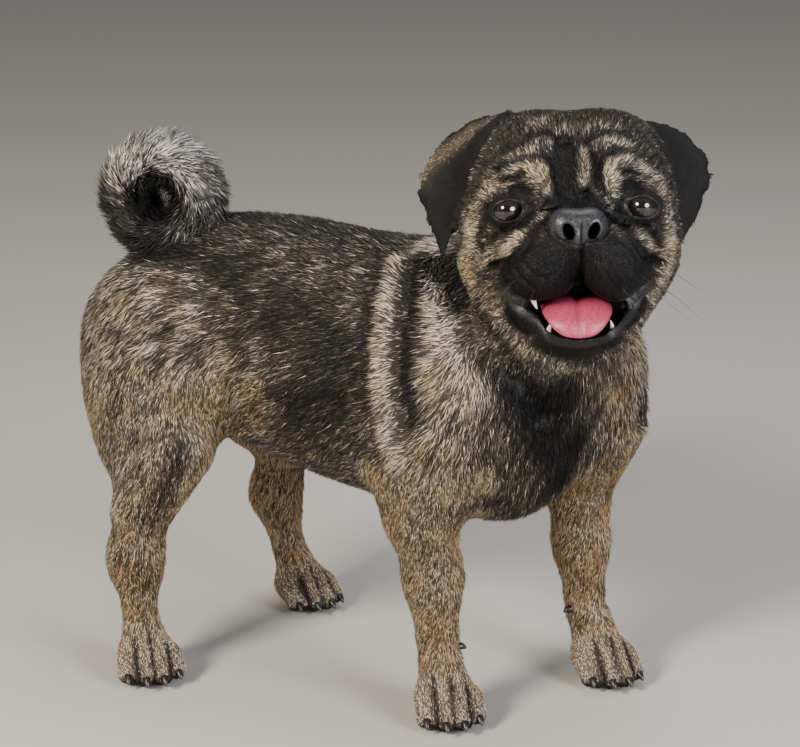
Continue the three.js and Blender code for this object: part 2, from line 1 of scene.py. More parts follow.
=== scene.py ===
# %% [markdown]
# # A brindle pug
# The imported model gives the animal's solid forms, out to the tips of its short coat. This script turns
# them into one continuous skin with wrinkles and lids, sets eyes, nose leather, tongue, teeth and claws
# into it, and covers it with some 345,000 small solid tufts that lie the way a real coat lies.
# Everything is in metres, but the forms of the head and the lengths of hair are easier to think of in
# millimetres, so helpers turn one into the other.

# %% Load the frame
import math

import bmesh
import bpy
import numpy as np
from mathutils import Matrix, Vector
from mathutils.bvhtree import BVHTree


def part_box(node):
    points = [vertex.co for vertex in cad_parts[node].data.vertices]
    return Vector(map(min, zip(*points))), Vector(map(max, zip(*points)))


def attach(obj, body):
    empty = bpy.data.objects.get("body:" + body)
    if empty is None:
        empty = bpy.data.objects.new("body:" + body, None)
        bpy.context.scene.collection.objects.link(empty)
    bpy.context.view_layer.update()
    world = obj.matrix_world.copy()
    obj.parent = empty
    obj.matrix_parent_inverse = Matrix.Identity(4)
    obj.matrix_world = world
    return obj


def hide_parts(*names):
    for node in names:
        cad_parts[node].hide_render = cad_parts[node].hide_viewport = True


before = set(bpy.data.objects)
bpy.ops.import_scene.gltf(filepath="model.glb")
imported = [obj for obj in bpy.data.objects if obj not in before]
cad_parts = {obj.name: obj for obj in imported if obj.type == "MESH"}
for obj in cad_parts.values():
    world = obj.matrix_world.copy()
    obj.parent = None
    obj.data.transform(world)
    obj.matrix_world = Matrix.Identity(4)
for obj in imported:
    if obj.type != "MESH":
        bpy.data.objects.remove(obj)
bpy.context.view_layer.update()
bpy.ops.object.select_all(action="DESELECT")
MM = 0.001
rng = np.random.default_rng(7)
print("CAD nodes:", len(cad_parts))

# %% [markdown]
# Colours are picked on a screen, so they are written as sRGB hex values. Blender's shaders want linear
# light, and one function does the change. Another adds a shader node with its settings and links in one
# line, which keeps the materials below short enough to read.


# %% Colour and node helpers
def colour(hex_value):
    """An sRGB hex value such as "#c9b594" as linear red, green, blue and alpha."""
    parts = [int(hex_value[i : i + 2], 16) / 255 for i in (1, 3, 5)]
    linear = [c / 12.92 if c <= 0.04045 else ((c + 0.055) / 1.055) ** 2.4 for c in parts]
    return (*linear, 1.0)


def new_material(name):
    material = bpy.data.materials.new(name)
    material.use_nodes = True
    return material, material.node_tree.nodes["Principled BSDF"]


def node(material, kind, settings=None, **inputs):
    """Adds a node. Settings are its own fields, inputs are values or other nodes' outputs by socket name."""
    made = material.node_tree.nodes.new(kind)
    for field, value in (settings or {}).items():
        setattr(made, field, value)
    for socket, value in inputs.items():
        put(material, made, socket, value)
    return made


def put(material, target, socket, value):
    """Sets a socket to a value, or links it where the value is another node's output."""
    sockets = target.inputs
    by_number = socket[0] == "i" and socket[1:].isdigit()
    found = sockets[int(socket[1:])] if by_number else sockets[socket.replace("_", " ")]
    if isinstance(value, bpy.types.NodeSocket):
        material.node_tree.links.new(value, found)
    else:
        found.default_value = value


def ramp(material, factor, stops, easing="LINEAR"):
    """A colour ramp through (position, hex colour) stops."""
    made = node(material, "ShaderNodeValToRGB", Fac=factor)
    made.color_ramp.interpolation = easing
    elements = made.color_ramp.elements
    while len(elements) < len(stops):
        elements.new(0.5)
    for element, (position, hex_value) in zip(elements, stops):
        element.position = position
        element.color = colour(hex_value)
    return made.outputs["Color"]


def attribute(material, name):
    return node(material, "ShaderNodeAttribute", {"attribute_name": name}).outputs["Fac"]


def mix(material, factor, a, b, blend="MIX"):
    made = node(material, "ShaderNodeMix", {"data_type": "RGBA", "blend_type": blend})
    for index, value in ((0, factor), (6, a), (7, b)):
        put(material, made, f"i{index}", value)
    return made.outputs[2]


# %% [markdown]
# ## Where things are
# The head has its own frame: its origin is midway between the eyes, x points out of the face, y to the
# head's left and z up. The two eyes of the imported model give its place, and three angles give its turn.
# The body's frame is the model's own, moved so that the numbers of the model's source still fit.

# %% Frames of the head and the body
HEAD_TURN, HEAD_LIFT, HEAD_LEAN = -60.0, 5.0, 1.5  # degrees
HEAD_PLACE = np.array([163.0, -44.0, 339.0])  # in the frame that the source of the solids is drawn in
EYE = {"x": -5.5, "y": 40.0, "radius": 11.5}


def turn(degrees, axis):
    return np.array(Matrix.Rotation(math.radians(degrees), 3, axis))


def centre(name):
    low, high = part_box(name)
    return np.array((low + high) / 2) / MM


head_turn = turn(HEAD_TURN, "Z") @ turn(-HEAD_LIFT, "Y") @ turn(HEAD_LEAN, "X")
head_origin = (centre("eye_right") + centre("eye_left")) / 2 - head_turn @ np.array([EYE["x"], 0, 0])
body_shift = head_origin - HEAD_PLACE
print("head origin, mm:", head_origin.round(1), "body shift, mm:", body_shift.round(2))


def to_head(points):
    return (points / MM - head_origin) @ head_turn


def from_head(points):
    return (np.asarray(points, float) @ head_turn.T + head_origin) * MM


def to_body(points):
    return points / MM - body_shift


def from_body(points):
    return (np.asarray(points, float) + body_shift) * MM


# %% [markdown]
# ## Forms as fields
# A smooth form is easiest to describe by a function that is below zero inside it and about the distance
# from its surface outside. Two such forms melt into one where a soft minimum joins them. The solids
# were made from the same eggs and limbs, so a vertex of the skin can be slid onto the exact form, and
# past it by the depth of the coat.


# %% Eggs, limbs and soft joins
def egg(p, middle, radii, pitch=0.0, yaw=0.0):
    q = (p - np.array(middle)) @ (turn(yaw, "Z") @ turn(pitch, "Y")) / np.array(radii)
    near = np.linalg.norm(q, axis=1)
    slope = np.linalg.norm(q / np.array(radii), axis=1)
    return near * (near - 1) / np.maximum(slope, 1e-9)


def limb(p, *stations):
    """A tapering tube through stations of (x, y, z, radius)."""
    best = np.full(len(p), np.inf)
    for a, b in zip(stations[:-1], stations[1:]):
        start, step = np.array(a[:3]), np.subtract(b[:3], a[:3])
        t = np.clip((p - start) @ step / (step @ step), 0, 1)
        away = np.linalg.norm(p - start - t[:, None] * step, axis=1)
        best = np.minimum(best, away - (a[3] + (b[3] - a[3]) * t))
    return best


def soft_min(a, b, reach):
    share = np.maximum(reach - np.abs(a - b), 0) / reach
    return np.minimum(a, b) - share * share * reach / 4


def soft_max(a, b, reach):
    return -soft_min(-a, -b, reach)


def melt(reach, *forms):
    joined = forms[0]
    for form in forms[1:]:
        joined = soft_min(joined, form, reach)
    return joined


def mirrored(p):
    """The points with the right side of the animal laid over the left one."""
    return np.column_stack([p[:, 0], np.abs(p[:, 1]), p[:, 2]])

def smoothstep(values, low, high):
    t = np.clip((values - low) / (high - low), 0, 1)
    return t * t * (3 - 2 * t)


def bell(distance, wide):
    return np.exp(-((distance / wide) ** 2))


def fine_line(points, steps=8):
    """A Catmull-Rom curve through the points, as many close points."""
    p = np.array(points, float)
    p = np.vstack([2 * p[0] - p[1], p, 2 * p[-1] - p[-2]])
    t = np.linspace(0, 1, steps, endpoint=False)[:, None]
    rows = []
    for a, b, c, d in zip(p[:-3], p[1:-2], p[2:-1], p[3:]):
        rows.append(
            0.5 * (2 * b + (c - a) * t + (2 * a - 5 * b + 4 * c - d) * t**2 + (3 * b - a - 3 * c + d) * t**3)
        )
    return np.vstack([*rows, p[-2:-1]])


def distance_to_line(points, line):
    """The distance from each point to the nearest point of a line, in as many dimensions as they have."""
    nearest = np.full(len(points), np.inf)
    for q in line:
        nearest = np.minimum(nearest, ((points - q) ** 2).sum(axis=1))
    return np.sqrt(nearest)


# %% [markdown]
# ## The pug's face
# A pug's face is built on a round skull with a short muzzle, and loose skin hangs over it in folds.
# Each fold or crease is drawn here as a line on the face seen from the front, in millimetres from the
# midpoint of the eyes, with its width and how far it stands up or sinks in. The last number says how
# much paler or darker the hair is painted there: painted highlight on each ridge and painted shade in
# each crease.

# %% Folds of the face
# (line of y and z, half width, height, paleness: painted highlight above zero, painted shade below)
FOLDS = [
    # the brow on the animal's right, its broad inner end, the fold over the lid and the creases round them
    ([(-58, 2), (-54, 10), (-48.5, 17), (-42, 21.5), (-35, 25), (-28, 27), (-21, 27.5), (-18, 23), (-16, 17),
      (-15.5, 11)], 2.6, 2.4, 0.22),
    ([(-25, 24), (-22, 18), (-20.5, 12)], 4.2, 0.8, 0.28),
    ([(-55, 5.5), (-50, 11.5), (-44, 15), (-38.5, 16)], 2.0, 1.2, 0.24),
    ([(-43, 18), (-37, 20.5), (-31, 22.5)], 1.5, -1.6, -0.26),
    ([(-38, 12.5), (-32, 13), (-27, 12)], 3.0, -1.0, -0.24),
    ([(-46, 24), (-38, 29), (-30, 31), (-22, 31.5), (-15.5, 31), (-13, 26), (-13, 17)], 1.8, -1.9, -0.2),
    ([(-38, 31), (-33, 33), (-26, 35)], 2.2, 1.3, 0.22),
    # the brow on its left
    ([(20.5, 11), (18.5, 17), (19.5, 23), (22.5, 27), (27, 29.5), (31, 29.4), (36, 26.5), (42, 22.5),
      (48.5, 17.5), (53, 12), (55, 6)], 2.6, 2.4, 0.22),
    ([(22.5, 24), (23, 18), (23.5, 11)], 4.2, 0.8, 0.3),
    ([(38, 17), (42, 16), (48.5, 12), (51, 9)], 1.9, 1.0, 0.18),
    ([(28, 22), (33, 22.5), (38, 20)], 1.5, -1.5, -0.22),
    ([(29, 13), (34, 13.5), (39, 12.5)], 3.0, -1.0, -0.24),
    ([(38, 31), (33, 33), (27, 33.5), (21.5, 32.5), (17, 29.5), (16, 23), (16.3, 17), (18, 10)],
     1.8, -1.9, -0.2),
    ([(14, 37), (17, 39), (22, 41), (27, 39.5), (32.5, 35.5), (36, 31)], 2.6, 1.6, 0.2),
    ([(2.5, 35.5), (9, 40), (16.5, 43), (24, 44), (34, 42)], 1.8, -1.6, -0.16),
    # between the brows: a hollow in painted shade and a ridge with painted highlight beside it
    ([(-5.5, 38), (-6, 30), (-6, 20), (-6, 10)], 5.5, -1.2, -0.26),
    ([(5.5, 34.5), (6, 28.5), (6.5, 23), (5, 17), (3.5, 12.5)], 2.6, 1.8, 0.3),
    ([(11.5, 34), (12, 24), (12, 14)], 2.2, -1.2, -0.2),
    # lumps and creases of the forehead
    ([(-24, 38), (-19, 40), (-14, 39)], 3.2, 1.5, 0.12),
    ([(-9, 45), (-5, 47), (0, 46)], 3.0, 1.3, 0.14),
    ([(-42, 34), (-32, 40), (-24, 43.5), (-14, 44.5), (-8, 41), (0, 41)], 2.0, -1.5, -0.14),
    ([(-25, 51), (-20, 52), (-14, 52)], 3.2, 1.0, 0.14),
    ([(8, 47), (18, 49), (28, 48)], 3.0, 1.1, 0.08),
    # the roll over the nose, and the crease between it and the muzzle
    ([(-13, 3.5), (-5, 7), (3, 9.5), (10, 12)], 4.0, 1.2, 0.0),
    ([(-13, 3.5), (-18, 0.5), (-22, -2.5), (-27, -5), (-32, -8.5), (-36, -13.5), (-40.5, -19), (-45, -24),
      (-51, -27), (-56, -29)], 2.7, 3.0, 0.24),
    ([(-34, -12), (-40, -18.5), (-44, -23)], 3.0, 0.0, 0.2),
    ([(10, 12), (13.5, 7.5), (18.5, 3), (24.5, 0), (30.5, -3), (34, -8), (38, -14.5),
      (44.5, -23), (52, -28)], 2.6, 2.6, 0.2),
    ([(-16, -4), (-22, -8.5), (-28, -13.5), (-34, -20.5), (-41, -27.5), (-50, -34)], 2.2, -2.6, -0.22),
    ([(17, -4), (24, -7), (30, -11), (35, -18), (41, -27), (50, -34)], 2.2, -2.4, -0.22),
    ([(-29, 2), (-34, -5), (-41, -12), (-49, -17)], 2.0, -1.6, -0.2),
    ([(29, 2), (35, -5), (42, -12), (50, -18)], 2.0, -1.5, -0.2),
    # cheeks, and the lump beside each corner of the mouth
    ([(-60, 0), (-63, -10.5), (-63.5, -22), (-65, -34), (-62.5, -43)], 3.6, 2.0, 0.22),
    ([(57, 4), (58, -11), (58.5, -20.5), (57.5, -30), (56, -40)], 3.6, 1.8, 0.16),
    ([(-58.5, -35.5), (-54, -30), (-48, -27)], 3.0, 0.3, 0.2),
    ([(-55, -8), (-57, -18), (-55, -25)], 2.4, -1.5, -0.16),
    ([(51, -9), (52, -18), (50, -25)], 2.2, -1.2, -0.12),
    # the muzzle: a groove from the nose to the lips, and wrinkles where the lips hang
    ([(1.8, -18), (1.8, -28), (1.4, -43)], 1.2, -2.2, 0.0),
    ([(-38, -33), (-34, -39), (-27, -45)], 1.5, -0.8, 0.0),
    ([(-33, -29), (-27, -35), (-20, -38)], 1.4, -0.6, 0.0),
    ([(38, -33), (35, -40), (28, -46)], 1.5, -0.7, 0.0),
    ([(-24, -17), (-31, -21), (-36, -28)], 1.6, -0.7, 0.0),
    ([(24, -16), (31, -21), (36, -28)], 1.6, -0.7, 0.0),
]
fold_lines = [(fine_line(line), wide, high, pale) for line, wide, high, pale in FOLDS]


def folds(p, what="high"):
    """The sum of all folds at points of the head's frame: their height in millimetres, or their paleness,
    which is painted highlight on a ridge and painted shade in a crease.
    """
    front = smoothstep(p[:, 0], -48, -22)
    total = np.zeros(len(p))
    near = front > 0
    flat = p[near][:, 1:]
    for line, wide, high, pale in fold_lines:
        strength = high if what == "high" else pale
        total[near] += strength * bell(distance_to_line(flat, line), wide)
    return total * front


# %% [markdown]
# The nose, the skull, the cheeks and the lids are eggs and limbs as well. The mouth is the space
# between two lines, one for each lip, and is taken out of the head. The opening of an eye is measured
# as a share of its own size.

# %% Field of the head
NOSE = {"x": 20.0, "z": -8.0, "half": 17.5, "high": 10.0}
MOUTH_BACK = -16.0
MOUTH_HALF = 46.0


def nose_field(p):
    side = mirrored(p)
    return melt(
        5,
        egg(side, (NOSE["x"], NOSE["half"] / 2, NOSE["z"]), (9, NOSE["half"] / 2, NOSE["high"])),
        egg(p, (NOSE["x"] + 1, 0, NOSE["z"] + 3), (9, 12, 7)),
        egg(p, (NOSE["x"] + 2, 0, NOSE["z"] - 6), (7, 5, 6)),
    )


# The edges of the lips, y and z, from the corner on the animal's right to the one on its left
UPPER_LIP = fine_line(
    [(-46, -46), (-40, -52), (-34, -54), (-27, -54.6), (-19, -53.6), (-11.5, -52), (-4.4, -48.6), (1, -42.8),
     (7.5, -48.4), (13.4, -52.7), (20, -56), (26.4, -57.2), (32.4, -55.6), (38.4, -51), (46, -46)], 6
)
LOWER_LIP = fine_line(
    [(-46, -46), (-37, -55), (-28.3, -59.4), (-21.8, -64.3), (-17.2, -71.7), (-9, -75.4), (1.8, -76.7),
     (13, -75.4), (19, -71.5), (23.3, -69.2), (28.7, -64.5), (34.7, -58.1), (46, -46)], 6
)


def mouth_outline(p):
    """Below zero between the lips, seen from the front."""
    upper = np.interp(p[:, 1], UPPER_LIP[:, 0], UPPER_LIP[:, 1])
    lower = np.interp(p[:, 1], LOWER_LIP[:, 0], LOWER_LIP[:, 1])
    return np.maximum.reduce([p[:, 2] - upper, lower - p[:, 2], np.abs(p[:, 1]) - MOUTH_HALF])


def mouth_field(p):
    """Below zero inside the mouth."""
    return soft_max(mouth_outline(p), MOUTH_BACK - p[:, 0], 3)


# Rolls of loose skin from each cheek down behind the jaw, which meet under the throat
ROLLS = [
    [(-30, -60, -34, 10), (-26, -53, -55, 10), (-22, -43, -70, 9.5), (-20, -30, -86, 9)],
    [(-30, 53, -34, 10), (-26, 46, -52, 10), (-22, 37, -66, 9.5), (-20, 26, -82, 9)],
    [(-20, -30, -86, 9), (-20, -6, -94, 9), (-20, 26, -82, 9)],
]


def face_field(p):
    side = mirrored(p)
    skull = melt(
        16,
        egg(p, (-46, 0, 1), (51, 64, 55)),
        egg(side, (-44, 27, 16), (42, 34, 38)),
        egg(side, (-38, 38, -30), (38, 29, 30)),
        egg(p, (-34, 0, -50), (42, 40, 30)),
    )
    chin = egg(p, (-12, 0, -68), (28, 31, 23))
    jaw = melt(8, chin, limb(side, (4, 20, -77, 7), (-10, 33, -62, 8), (-18, 46, -46, 9)))
    rolls = melt(6, *(limb(p, *roll) for roll in ROLLS))
    flews = melt(7, egg(side, (3, 22, -31), (26, 23, 24)), egg(p, (5, 0, -16), (22, 26, 20)))
    lid = EYE["radius"] + 1.1
    lids = egg(side, (EYE["x"], EYE["y"], 0), (lid, lid, lid))
    brow = melt(3, egg(side, (-6, 27, 19), (14, 17, 13), 0, 15), lids)
    joined = melt(4, melt(8, skull, jaw, rolls), flews, brow)
    return soft_max(joined, -mouth_field(p), 1.6)


OPENING = {"half": 8.4, "high": 6.5}


def opening_share(p):
    """How far out each point is over the opening of its eye, seen from the front: 1 at the lids' edge."""
    y = np.abs(p[:, 1]) - EYE["y"]
    z = p[:, 2] + 0.08 * y
    corner = 1 + 0.10 * np.abs(y) / OPENING["half"]
    upper = np.where(z > 0, 1.0, 0.94)
    return np.hypot(y / OPENING["half"] / corner, z / OPENING["high"] / upper)


# %% [markdown]
# The trunk, the legs and the neck are drawn in the same way, in the body's frame: x towards the chest,
# y to the animal's left, z up from the floor.

# %% Field of the body
FOOT = {
    "front_right": (82.0, -52.0, -50.0),  # x, y and how far the toes are turned, in degrees
    "front_left": (138.0, 63.0, -40.0),
    "hind_right": (-129.0, -85.0, -45.0),
    "hind_left": (-114.0, 88.0, -28.0),
}
SHIN_BEHIND = {"front_right": 8.0, "front_left": 15.0}
HOCK_BEHIND = {"hind_right": 7.0, "hind_left": 22.0}


def front_leg(p, x, y, side, shin):
    elbow = (x - 4 - shin, (y + side * 66) / 2, 134)
    upper = ((x - 10, side * 58, 180, 36), (*elbow, 24), (x - 2 - shin, y, 94, 17.5))
    lower = ((x - 2 - shin, y, 94, 17.5), (x + 2 - shin, y, 50, 15), (x - 1, y, 20, 17))
    shoulder = egg(p, (x - 16, side * 54, 200), (46, 36, 64), 10)
    point = egg(p, (elbow[0] - 15, elbow[1], 138), (12, 12, 19))
    return melt(16, shoulder, limb(p, *upper), limb(p, *lower), point)


def hind_leg(p, x, y, side, hock):
    thigh = (
        (-134, side * 58, 200, 42),
        (x + 17, side * 74, 160, 29),
        (x + 5 - hock, y, 116, 22),
        (x - hock, y, 80, 15.5),
    )
    shin = ((x - hock, y, 80, 15.5), (x - 2 - hock / 2, y, 44, 13.5), (x - 2, y, 20, 16))
    rump = egg(p, (-138, side * 50, 214), (58, 44, 68), -12)
    buttock = egg(p, (-148, side * 66, 172), (32, 28, 52), -6)
    heel = egg(p, (x - hock - 6, y, 84), (9, 9, 12))
    return melt(18, rump, buttock, limb(p, *thigh), limb(p, *shin), heel)


def leg_field(p, foot):
    x, y, _ = FOOT[foot]
    if foot in HOCK_BEHIND:
        return hind_leg(p, x, y, np.sign(y), HOCK_BEHIND[foot])
    return front_leg(p, x, y, np.sign(y), SHIN_BEHIND[foot])


def body_field(p):
    joined = melt(
        26,
        egg(p, (28, 0, 210.5), (100, 80, 82.5)),
        egg(p, (40, 0, 244), (78, 52, 49)),
        egg(p, (-44, 0, 223), (96, 72, 83)),
        egg(p, (-112, 0, 240), (88, 72, 65), -4),
        egg(p, (94, 0, 199), (58, 66, 76)),
    )
    for foot in FOOT:
        joined = soft_min(joined, leg_field(p, foot), 18)
    neck = melt(
        20,
        limb(p, (46, 0, 232, 66), (84, 8, 254, 54), (116, 16, 288, 44)),
        egg(p, (116, 12, 240), (50, 62, 56), 20),
    )
    return soft_min(joined, neck, 24)


def whole_field(p):
    return soft_min(body_field(p), face_field(to_head(from_body(p))), 6)


def slope_of(field, p, value):
    tiny = 0.05
    return np.column_stack([field(p + tiny * step) - value for step in np.eye(3)]) / tiny


def slide(points, field, steps=3, most=5.0):
    """Slides points along a field's slope onto its surface, by no more than most."""
    moved = points.copy()
    for _ in range(steps):
        value = field(moved)
        slope = slope_of(field, moved, value)
        moved -= slope * (value / np.maximum((slope**2).sum(axis=1), 0.3))[:, None]
        away = moved - points
        moved = points + away / np.maximum(np.linalg.norm(away, axis=1) / most, 1)[:, None]
    return moved


# %% [markdown]
# ## One skin over all flesh
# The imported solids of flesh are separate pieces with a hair-thin gap between them. Copies of them are
# blown up by a third of a millimetre so that they overlap, joined, and given one surface by a voxel
# remesh. Eyes and nose go in as well, so that the remesh has no thin walls to lose; the skin is pushed
# back under them later.

# %% Remesh the flesh into one surface
FEET = ("front_right", "front_left", "hind_right", "hind_left")
FLESH = ["torso", "neck", "head", "ear_right", "ear_left", "tail_base", "tail_middle", "tail_tip"]
FLESH += [f"leg_{foot}" for foot in FEET] + [f"paw_{foot}" for foot in FEET]
VOXEL = 2.5 * MM
SWELL = 0.35 * MM

joined = bmesh.new()
for name in [*FLESH, "eye_right", "eye_left", "nose"]:
    joined.from_mesh(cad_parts[name].data)
bmesh.ops.remove_doubles(joined, verts=joined.verts, dist=0.01 * MM)
joined.normal_update()
for vertex in joined.verts:
    vertex.co += vertex.normal * SWELL
skin_mesh = bpy.data.meshes.new("skin")
joined.to_mesh(skin_mesh)
joined.free()
skin = bpy.data.objects.new("skin", skin_mesh)
bpy.context.scene.collection.objects.link(skin)


def make_active(piece):
    bpy.ops.object.select_all(action="DESELECT")
    piece.select_set(True)
    bpy.context.view_layer.objects.active = piece


def apply_modifier(piece, kind, **settings):
    make_active(piece)
    modifier = piece.modifiers.new(kind.title(), kind)
    for field, value in settings.items():
        setattr(modifier, field, value)
    bpy.ops.object.modifier_apply(modifier=modifier.name)


apply_modifier(skin, "REMESH", mode="VOXEL", voxel_size=VOXEL)
print("remeshed skin:", len(skin.data.vertices), "vertices")


# %% [markdown]
# The skin has more than a hundred thousand vertices. Reading them one by one is slow, so they are
# copied into arrays and back in one call each.

# %% Read and write a mesh's points as arrays
def read_points(piece):
    co = np.empty(len(piece.data.vertices) * 3, np.float32)
    piece.data.vertices.foreach_get("co", co)
    return co.reshape(-1, 3).astype(float)


def write_points(piece, points):
    piece.data.vertices.foreach_set("co", points.astype(np.float32).ravel())
    piece.data.update()


def read_normals(piece):
    out = np.empty(len(piece.data.vertices) * 3, np.float32)
    piece.data.vertex_normals.foreach_get("vector", out)
    return out.reshape(-1, 3).astype(float)


def read_edges(piece):
    ends = np.empty(len(piece.data.edges) * 2, np.int32)
    piece.data.edges.foreach_get("vertices", ends)
    return ends.reshape(-1, 2)


def neighbour_mean(values, edges):
    """The mean of each vertex's neighbours, for a number or a vector per vertex."""
    count = np.bincount(edges.ravel(), minlength=len(values)).astype(float)
    columns = values.reshape(len(values), -1)
    sums = np.empty_like(columns)
    for i in range(columns.shape[1]):
        sums[:, i] = np.bincount(edges[:, 0], columns[edges[:, 1], i], len(values))
        sums[:, i] += np.bincount(edges[:, 1], columns[edges[:, 0], i], len(values))
    return (sums / np.maximum(count, 1)[:, None]).reshape(values.shape)


# %% [markdown]
# The remesh copies the flat facets of the solids. Smoothing takes them out. Plain smoothing would also
# shrink the animal, so each step in is followed by a slightly larger step out, which keeps the volume.
# The head and the feet get less of it than the trunk.

# %% Smooth the facets away
REGIONS = ["trunk", "neck", "head", "ear", "tail", "leg", "paw"]
SMOOTHING = np.array([1.0, 1.0, 0.7, 1.0, 1.0, 1.0, 0.5])  # share of the full strength in each region
SMOOTH_TIMES = 50
region_of = {"torso": "trunk", "neck": "neck", "head": "head", "eye": "head", "nose": "head"}
facets, face_region = [], []
corners = []
for name in [*FLESH, "eye_right", "eye_left", "nose"]:
    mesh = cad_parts[name].data
    base = len(corners)
    corners.extend(v.co.copy() for v in mesh.vertices)
    word = name.split("_")[0]
    facets.extend([base + i for i in polygon.vertices] for polygon in mesh.polygons)
    face_region.extend([REGIONS.index(region_of.get(word, word))] * len(mesh.polygons))
cad_surface = BVHTree.FromPolygons(corners, facets)


def regions_at(points):
    """For each point, a one in the column of the region whose solid is nearest."""
    nearest = np.array([face_region[cad_surface.find_nearest(Vector(p))[2]] for p in points])
    return np.eye(len(REGIONS))[nearest]


def blur(values, edges, times):
    for _ in range(times):
        values = 0.5 * values + 0.5 * neighbour_mean(values, edges)
    return values

def smooth(points, edges, weight, times):
    for _ in range(times):
        for step in (0.5, -0.52):
            points = points + (step * weight)[:, None] * (neighbour_mean(points, edges) - points)
    return points


points = read_points(skin)
edges = read_edges(skin)
region = blur(regions_at(points), edges, 6)
points = smooth(points, edges, region @ SMOOTHING, SMOOTH_TIMES)
write_points(skin, points)
print("smoothed;", "lowest point, mm:", round(points[:, 2].min() / MM, 2))

# %% [markdown]
# The face needs smaller faces than the body. Those in front of the ears are selected by their place and
# subdivided, and those round the eyes, the nose and the groove below it once more.


# %% Make the face finer
def subdivide_where(piece, chosen):
    """Cuts every face whose middle passes the test into four."""
    make_active(piece)
    count = len(piece.data.polygons)
    middles = np.empty(count * 3, np.float32)
    piece.data.polygons.foreach_get("center", middles)
    wanted = chosen(to_head(middles.reshape(-1, 3).astype(float)))
    for field in ("vertices", "edges"):
        group = getattr(piece.data, field)
        group.foreach_set("select", np.zeros(len(group), bool))
    piece.data.polygons.foreach_set("select", wanted)
    bpy.ops.object.mode_set(mode="EDIT")
    bpy.ops.mesh.select_mode(type="FACE")
    bpy.ops.mesh.subdivide(number_cuts=1, smoothness=0.0)
    bpy.ops.object.mode_set(mode="OBJECT")
    print("subdivided", int(wanted.sum()), "of", count, "faces")


def on_face(p):
    return (p[:, 0] > -42) & (np.abs(face_field(p)) < 5) & (p[:, 2] > -95)


def near_features(p):
    q = p[:, 1:]
    eyes = np.hypot((np.abs(q[:, 0]) - EYE["y"]) / 13.5, q[:, 1] / 12) < 1
    nose = (np.abs(q[:, 0]) < 24) & (q[:, 1] > -23) & (q[:, 1] < 12)
    groove = (np.abs(q[:, 0]) < 3.5) & (q[:, 1] < -16) & (q[:, 1] > -47)
    return (p[:, 0] > -16) & (eyes | nose | groove)


subdivide_where(skin, on_face)
subdivide_where(skin, near_features)

# %% [markdown]
# Now the vertices of the head and the body slide onto the animal's own field. Where a vertex is far
# from it, as on the ears, the tail and the tongue's bed, it stays.

# %% Sculpt the head and the body
ANKLE_LOW, ANKLE_HIGH = 30.0, 42.0  # millimetres over the floor: the feet below have a field of their own
points = read_points(skin)
edges = read_edges(skin)
region = blur(regions_at(points), edges, 8)
hung = region[:, REGIONS.index("ear")] + region[:, REGIONS.index("tail")]
body = to_body(points)
sliding = (hung < 0.6) & (body[:, 2] > ANKLE_LOW)
value = np.abs(whole_field(body[sliding]))
share = smoothstep(-value, -6, -3.5) * smoothstep(-hung[sliding], -0.3, -0.02)
share *= smoothstep(body[sliding, 2], ANKLE_LOW, ANKLE_HIGH)
slid = slide(body[sliding], whole_field)
body[sliding] += (slid - body[sliding]) * share[:, None]
points = smooth(from_body(body), edges, np.full(len(points), 0.6), 2)
print("slid onto the form:", int(sliding.sum()), "vertices")

# %% [markdown]
# A paw is four toes side by side on a low pad, which melt into the leg above. It is drawn in a frame of
# its own, with the toes ahead along x, because each foot is turned by its own angle.

# %% Sculpt the feet
TOES = [(-15.5, 12, 7.6), (-5.4, 19, 8.2), (5.4, 19, 8.2), (15.5, 12, 7.6)]  # across, ahead, radius
PAW_TOP = 36.0


def paw_field(foot):
    def field(p):
        toes = [
            limb(
                p,
                (ahead - 20, across * 0.7, 15, radius),
                (ahead - 4, across, 17, radius),
                (ahead + 5, across * 1.06, 9, radius),
            )
            for across, ahead, radius in TOES
        ]
        above = leg_field(to_body(from_foot(p, foot)), foot)
        return soft_min(soft_min(melt(0.8, *toes), egg(p, (-3, 0, 12), (21, 18, 14)), 4), above, 12)

    return field


def to_foot(points, foot):
    x, y, degrees = FOOT[foot]
    return (to_body(points) - np.array([x, y, 0])) @ turn(degrees, "Z")


def from_foot(local, foot):
    x, y, degrees = FOOT[foot]
    return from_body(local @ turn(degrees, "Z").T + np.array([x, y, 0]))


for foot in FEET:
    local = to_foot(points, foot)
    near = (np.hypot(local[:, 0], local[:, 1]) < 45) & (local[:, 2] < PAW_TOP)
    field = paw_field(foot)
    share = smoothstep(-local[near, 2], -PAW_TOP, -PAW_TOP + 10)
    share *= smoothstep(-np.abs(field(local[near])), -5, -3)
    slid = slide(local[near], field)
    local[near] += (slid - local[near]) * share[:, None]
    points[near] = from_foot(local, foot)[near]

# %% [markdown]
# The loose skin of a pug also folds on its body: one fold runs down behind the shoulder, and a thick
# ruff hangs round the neck, with a groove on each side of it. The head is turned, so the groove behind
# the cheek is deep on the animal's right alone. Folds stand up along the skin's own normals, all in one
# step.

# %% Raise the folds and sink the creases
FOLD_STRENGTH = 1.35
# lines of x, |y| and z
SHOULDER_FOLD = [(37, 38, 293), (41, 56, 279), (43, 63, 271), (47, 76, 252), (51, 85, 229), (54, 88, 217),
                 (59, 91, 206), (63, 94, 194), (69, 93, 169)]
SHOULDER_GROOVE = [(47, 36, 294), (55, 58, 274), (59, 76, 253), (64, 86, 231), (67, 89, 219), (72, 92, 206)]
BEHIND_FOLD = [(25, 44, 290), (29, 66, 266), (33, 80, 240), (38, 86, 218)]
RUFF = [(50, 18, 302), (59, 36, 293), (65, 50, 280), (74, 59, 270), (84, 66, 260), (93, 70, 250),
        (101, 71, 241), (110, 69, 223)]
